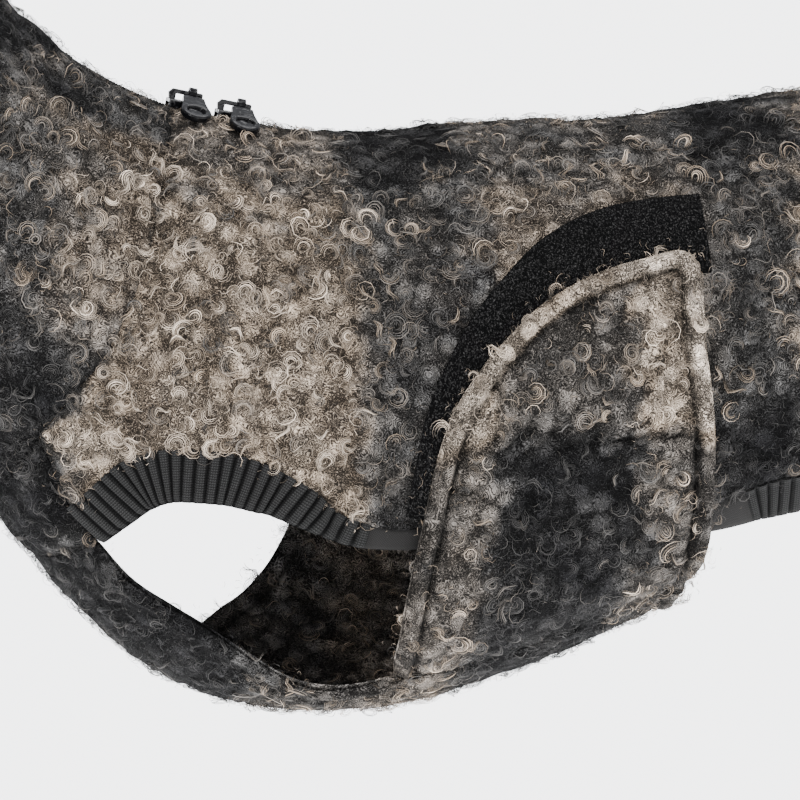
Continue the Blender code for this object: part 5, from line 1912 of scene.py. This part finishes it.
@dataclass
class Fastenings:
    """Zip tape with its coil, and both sliders with their pulls."""

    shop: Workshop
    tape_half: float = 14.0 * MM
    tape_faces: tuple = (-1.9 * MM, -0.9 * MM)
    coil_half: float = 2.3 * MM
    coil_top: float = 0.15 * MM
    coil_foot: float = 0.9 * MM
    coil_wire: float = 0.46 * MM
    coil_ends: float = 0.50
    pitch: float = 1.35 * MM
    sliders: tuple = (("front", 3.15, 12.5, 22.5), ("rear", 3.86, 12.0, 23.5))
    seat: float = 2.7 * MM
    axis: tuple = (2.7 * MM, 0.0, 4.6 * MM)
    pull_reach: float = 16.4 * MM
    pull_half: float = 0.9 * MM
    dish: float = 3.8 * MM
    dish_oval: float = 0.8
    rim: float = 6.1 * MM
    rim_height: float = 0.6 * MM
    rim_sink: float = 0.25 * MM
    rim_steps: int = 36
    weld: float = 0.01 * MM
    bevel: float = 0.28 * MM

    def build_tape(self) -> bpy.types.Object:
        """Closed shell of the tape below the cloth's edges."""
        form = self.shop.form
        stations = np.linspace(ZIP_START, ZIP_END, 60)
        around = form.slope_round(np.column_stack([stations, np.full(60, 0.02)]))
        offsets = np.linspace(-self.tape_half, self.tape_half, 9)
        places = np.stack([np.broadcast_to(stations[:, None], (60, 9)), offsets[None] / around[:, None]],
                          axis=-1)
        shell = Shell(form, [Patch(places, *self.tape_faces)])
        made = shell.build("zip_tape_weave", self.shop.finishes["tape"])
        return self.shop.fit(made, "zip_tape", "zip_tape")

    def build_coil(self) -> bpy.types.Object:
        """Closed coil: one rounded hoop across the tape for each pitch, leaning in turn to each side.

        A hoop's middle line is half an ellipse, flattened on top; its wire is round.

        Returns:
            The coil.
        """
        form = self.shop.form
        line = np.column_stack([np.linspace(ZIP_START + self.coil_ends, ZIP_END - self.coil_ends, 400),
                                np.zeros(400)])
        lengths = self.shop.pattern.lines.lengths(line)
        count = int(lengths[-1] / self.pitch)
        stations = np.interp((np.arange(count) + 0.5) * self.pitch, lengths, line[:, 0])
        turns, sides = 9, 6
        sweep = np.linspace(0, math.pi, turns)
        ring = np.linspace(0, 2 * math.pi, sides, endpoint=False)
        across = -np.cos(sweep) * self.coil_half * 0.86
        height = np.sin(sweep) ** 0.55 * (self.coil_top + self.coil_foot) - self.coil_foot
        tangent = unit(np.column_stack([np.gradient(across), np.gradient(height)]))
        offset_across = across[:, None] + tangent[:, 1:] * self.coil_wire * np.cos(ring)
        offset_height = height[:, None] - tangent[:, :1] * self.coil_wire * np.cos(ring)
        offset_along = self.coil_wire * np.sin(ring)[None] + np.zeros((turns, 1))
        lean = np.where(np.arange(count) % 2, 0.35, -0.35)[:, None, None]
        along = offset_along[None] + lean * offset_across[None] * 0.5
        centre = np.column_stack([stations, np.zeros(count)])
        up, run = form.outward(centre), unit(form.look_up(form.along, centre))
        side = np.cross(up, run)
        points = (form.look_up(form.points, centre)[:, None, None] + run[:, None, None] * along[..., None]
                  + side[:, None, None] * offset_across[None, ..., None]
                  + up[:, None, None] * offset_height[None, ..., None])
        i = np.arange(turns - 1) * sides
        closing = np.stack([i + sides - 1, i, i + sides, i + 2 * sides - 1], axis=1)
        hoop = np.concatenate([MeshMaker.grid_quads(turns, sides), closing])
        whole = (hoop[None] + (np.arange(count) * turns * sides)[:, None, None]).reshape(-1, 4)
        made = MeshMaker.make("zip_coil", points.reshape(-1, 3), whole, self.shop.finishes["coil"])
        return self.shop.fit(made, "zip_tape")

    def _rim_ring(self) -> tuple:
        """A bead round the dish, flat: from an inner ellipse to an outer circle, half an ellipse high.

        Returns:
            x and y on the pull, height over its face with the base inside the metal, and quads.
        """
        steps = self.rim_steps
        turn = np.linspace(0, 2 * math.pi, steps, endpoint=False)[:, None]
        profile = np.linspace(0, math.pi, 7)
        reach = np.append((1 - np.cos(profile)) / 2, [0.9, 0.1])[None, :]
        rise = np.append(np.sin(profile) * self.rim_height, [-self.rim_sink] * 2)[None, :]
        wide = self.dish * (1 - reach) + self.rim * reach
        deep = self.dish * self.dish_oval * (1 - reach) + self.rim * reach
        columns = reach.shape[1]
        i, j = np.meshgrid(np.arange(steps), np.arange(columns), indexing="ij")
        after, beside = (i + 1) % steps, (j + 1) % columns
        quads = np.stack([i * columns + j, after * columns + j, after * columns + beside,
                          i * columns + beside], axis=-1).reshape(-1, 4)
        return wide * np.cos(turn), deep * np.sin(turn) - self.pull_reach, rise, quads

    def build_rims(self) -> None:
        """A rounded bead round the dish on each face of both pulls."""
        x, y, rise, quads = self._rim_ring()
        for name, station, tilt, lie in self.sliders:
            seat = self.shop.form.at(np.array([station, 0.0]), self.seat)
            lay = (Matrix.Translation(Vector(seat)) @ Matrix.Rotation(math.radians(tilt), 4, "Y")
                   @ Matrix.Translation(Vector(self.axis)) @ Matrix.Rotation(math.radians(lie), 4, "X"))
            lay = np.array(lay)
            for face, up in (("upper", 1.0), ("under", -1.0)):
                z = np.broadcast_to(up * (self.pull_half + rise), x.shape)
                points = np.stack([x, y, z], axis=-1).reshape(-1, 3) @ lay[:3, :3].T + lay[:3, 3]
                made = MeshMaker.make(f"pull_{name}_{face}_rim", points, MeshMaker.face_out(points, quads),
                                      self.shop.finishes["lacquer"])
                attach(made, "pull_" + name)
                self.shop.report(made)

    def dress_metal(self, node: bpy.types.Object) -> None:
        """Lacquer and rounded edges on a slider or a pull."""
        node.data.materials.clear()
        node.data.materials.append(self.shop.finishes["lacquer"])
        node.modifiers.new("weld", "WELD").merge_threshold = self.weld
        bevel = node.modifiers.new("rounded", "BEVEL")
        bevel.width, bevel.segments, bevel.harden_normals = self.bevel, 3, False
        bevel.angle_limit = math.radians(32)
        LOG.info("%s: lacquered", node.name)

    def build(self, nodes: dict) -> None:
        """Tape, coil, and the metal nodes with rounded edges and lacquer."""
        tape = self.build_tape()
        coil = self.build_coil()
        for name in ("slider_front", "slider_rear", "pull_front", "pull_rear"):
            self.dress_metal(nodes[name])
        self.build_rims()


@dataclass(frozen=True)
class Sun:
    """A wide soft sun: where it shines from, its strength and its width in degrees."""

    name: str
    toward: tuple
    strength: float
    spread: float

    def build(self) -> None:
        """Make it."""
        lamp = bpy.data.lights.new(self.name, "SUN")
        lamp.energy, lamp.angle = self.strength, math.radians(self.spread)
        Studio.place(bpy.data.objects.new(self.name, lamp), self.toward)


@dataclass
class Studio:
    """Floor, light and the camera at the photograph's angle."""

    target: tuple = (0.04089362, 0.0, -0.10804149)
    eye: tuple = (-0.57819222, -2.91256991, 0.25756654)
    lens: float = 337.5
    sensor: float = 36.0
    clip: tuple = (0.1, 200.0)
    floor_level: float = -0.62
    floor_half: float = 60.0
    sky: tuple = (0.93, 0.95, 1.0)
    suns: tuple = (
        Sun("key_sun", (-0.45, -0.75, 1.15), 2.0, 18.0),
        Sun("top_sun", (0.30, 0.15, 1.0), 2.5, 50.0),
        Sun("glint_sun", (-0.30, -0.85, 1.00), 0.9, 2.0),
    )

    @staticmethod
    def place(made: bpy.types.Object, backward: Sequence[float]) -> None:
        """Turn a lamp or camera so that it looks away from a direction, and link it."""
        made.rotation_mode = "QUATERNION"
        made.rotation_quaternion = Vector(backward).to_track_quat("Z", "Y")
        bpy.context.scene.collection.objects.link(made)

    def build(self) -> None:
        """Make them all."""
        half = self.floor_half
        corners = np.array([(x * half, y * half, self.floor_level)
                            for x, y in ((-1, -1), (1, -1), (1, 1), (-1, 1))])
        MeshMaker.make("studio_floor", corners, np.array([[0, 1, 2, 3]]), PaleFloor().material())
        for sun in self.suns:
            sun.build()
        sky = Graph(bpy.data.worlds.new("studio_world"), "Background")
        bpy.context.scene.world = sky.done(Color=self.sky, Strength=1.0)
        self._camera()

    def _camera(self) -> None:
        """The camera, aimed at its target."""
        data = bpy.data.cameras.new("camera")
        data.lens, data.sensor_width = self.lens, self.sensor
        data.clip_start, data.clip_end = self.clip
        made = bpy.data.objects.new("camera", data)
        made.location = self.eye
        self.place(made, Vector(self.eye) - Vector(self.target))
        bpy.context.scene.camera = made


def main() -> None:
    """Load the frame, then build the coat and the studio."""
    logging.basicConfig(level=logging.INFO, format="%(name)s: %(message)s")
    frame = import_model()
    rng = np.random.default_rng(SEED)
    form, cloth = WornForm(), Cloth()
    check = Check(form, rng)
    finishes = {
        "ground": WoolGround().material(),
        "curls": WoolCurls().material(),
        "rib": RibKnit().material(),
        "loop": LoopNap().material(),
        "facing": WovenCloth("facing_weave", (0.0120, 0.0114, 0.0110), 0.5 * MM).material(),
        "tape": WovenCloth("tape_weave", (0.012, 0.012, 0.013), 0.45 * MM, 0.02).material(),
        "coil": WovenCloth("coil_plastic", (0.006, 0.006, 0.0065), 0.3 * MM).material(),
        "lacquer": BlackLacquer().material(),
    }
    shop = Workshop(form, cloth, Pattern(form, cloth), check, Relief(rng), Pile(form, check, rng), finishes)
    coat = Coat(shop)
    coat.build_back()
    coat.build_neck()
    coat.build_belly()
    coat.build_ribs()
    coat.build_facings()
    coat.build_bands()
    Fastenings(shop).build(frame["nodes"])
    Studio().build()
    LOG.info("done")


if __name__ == "__main__":
    main()
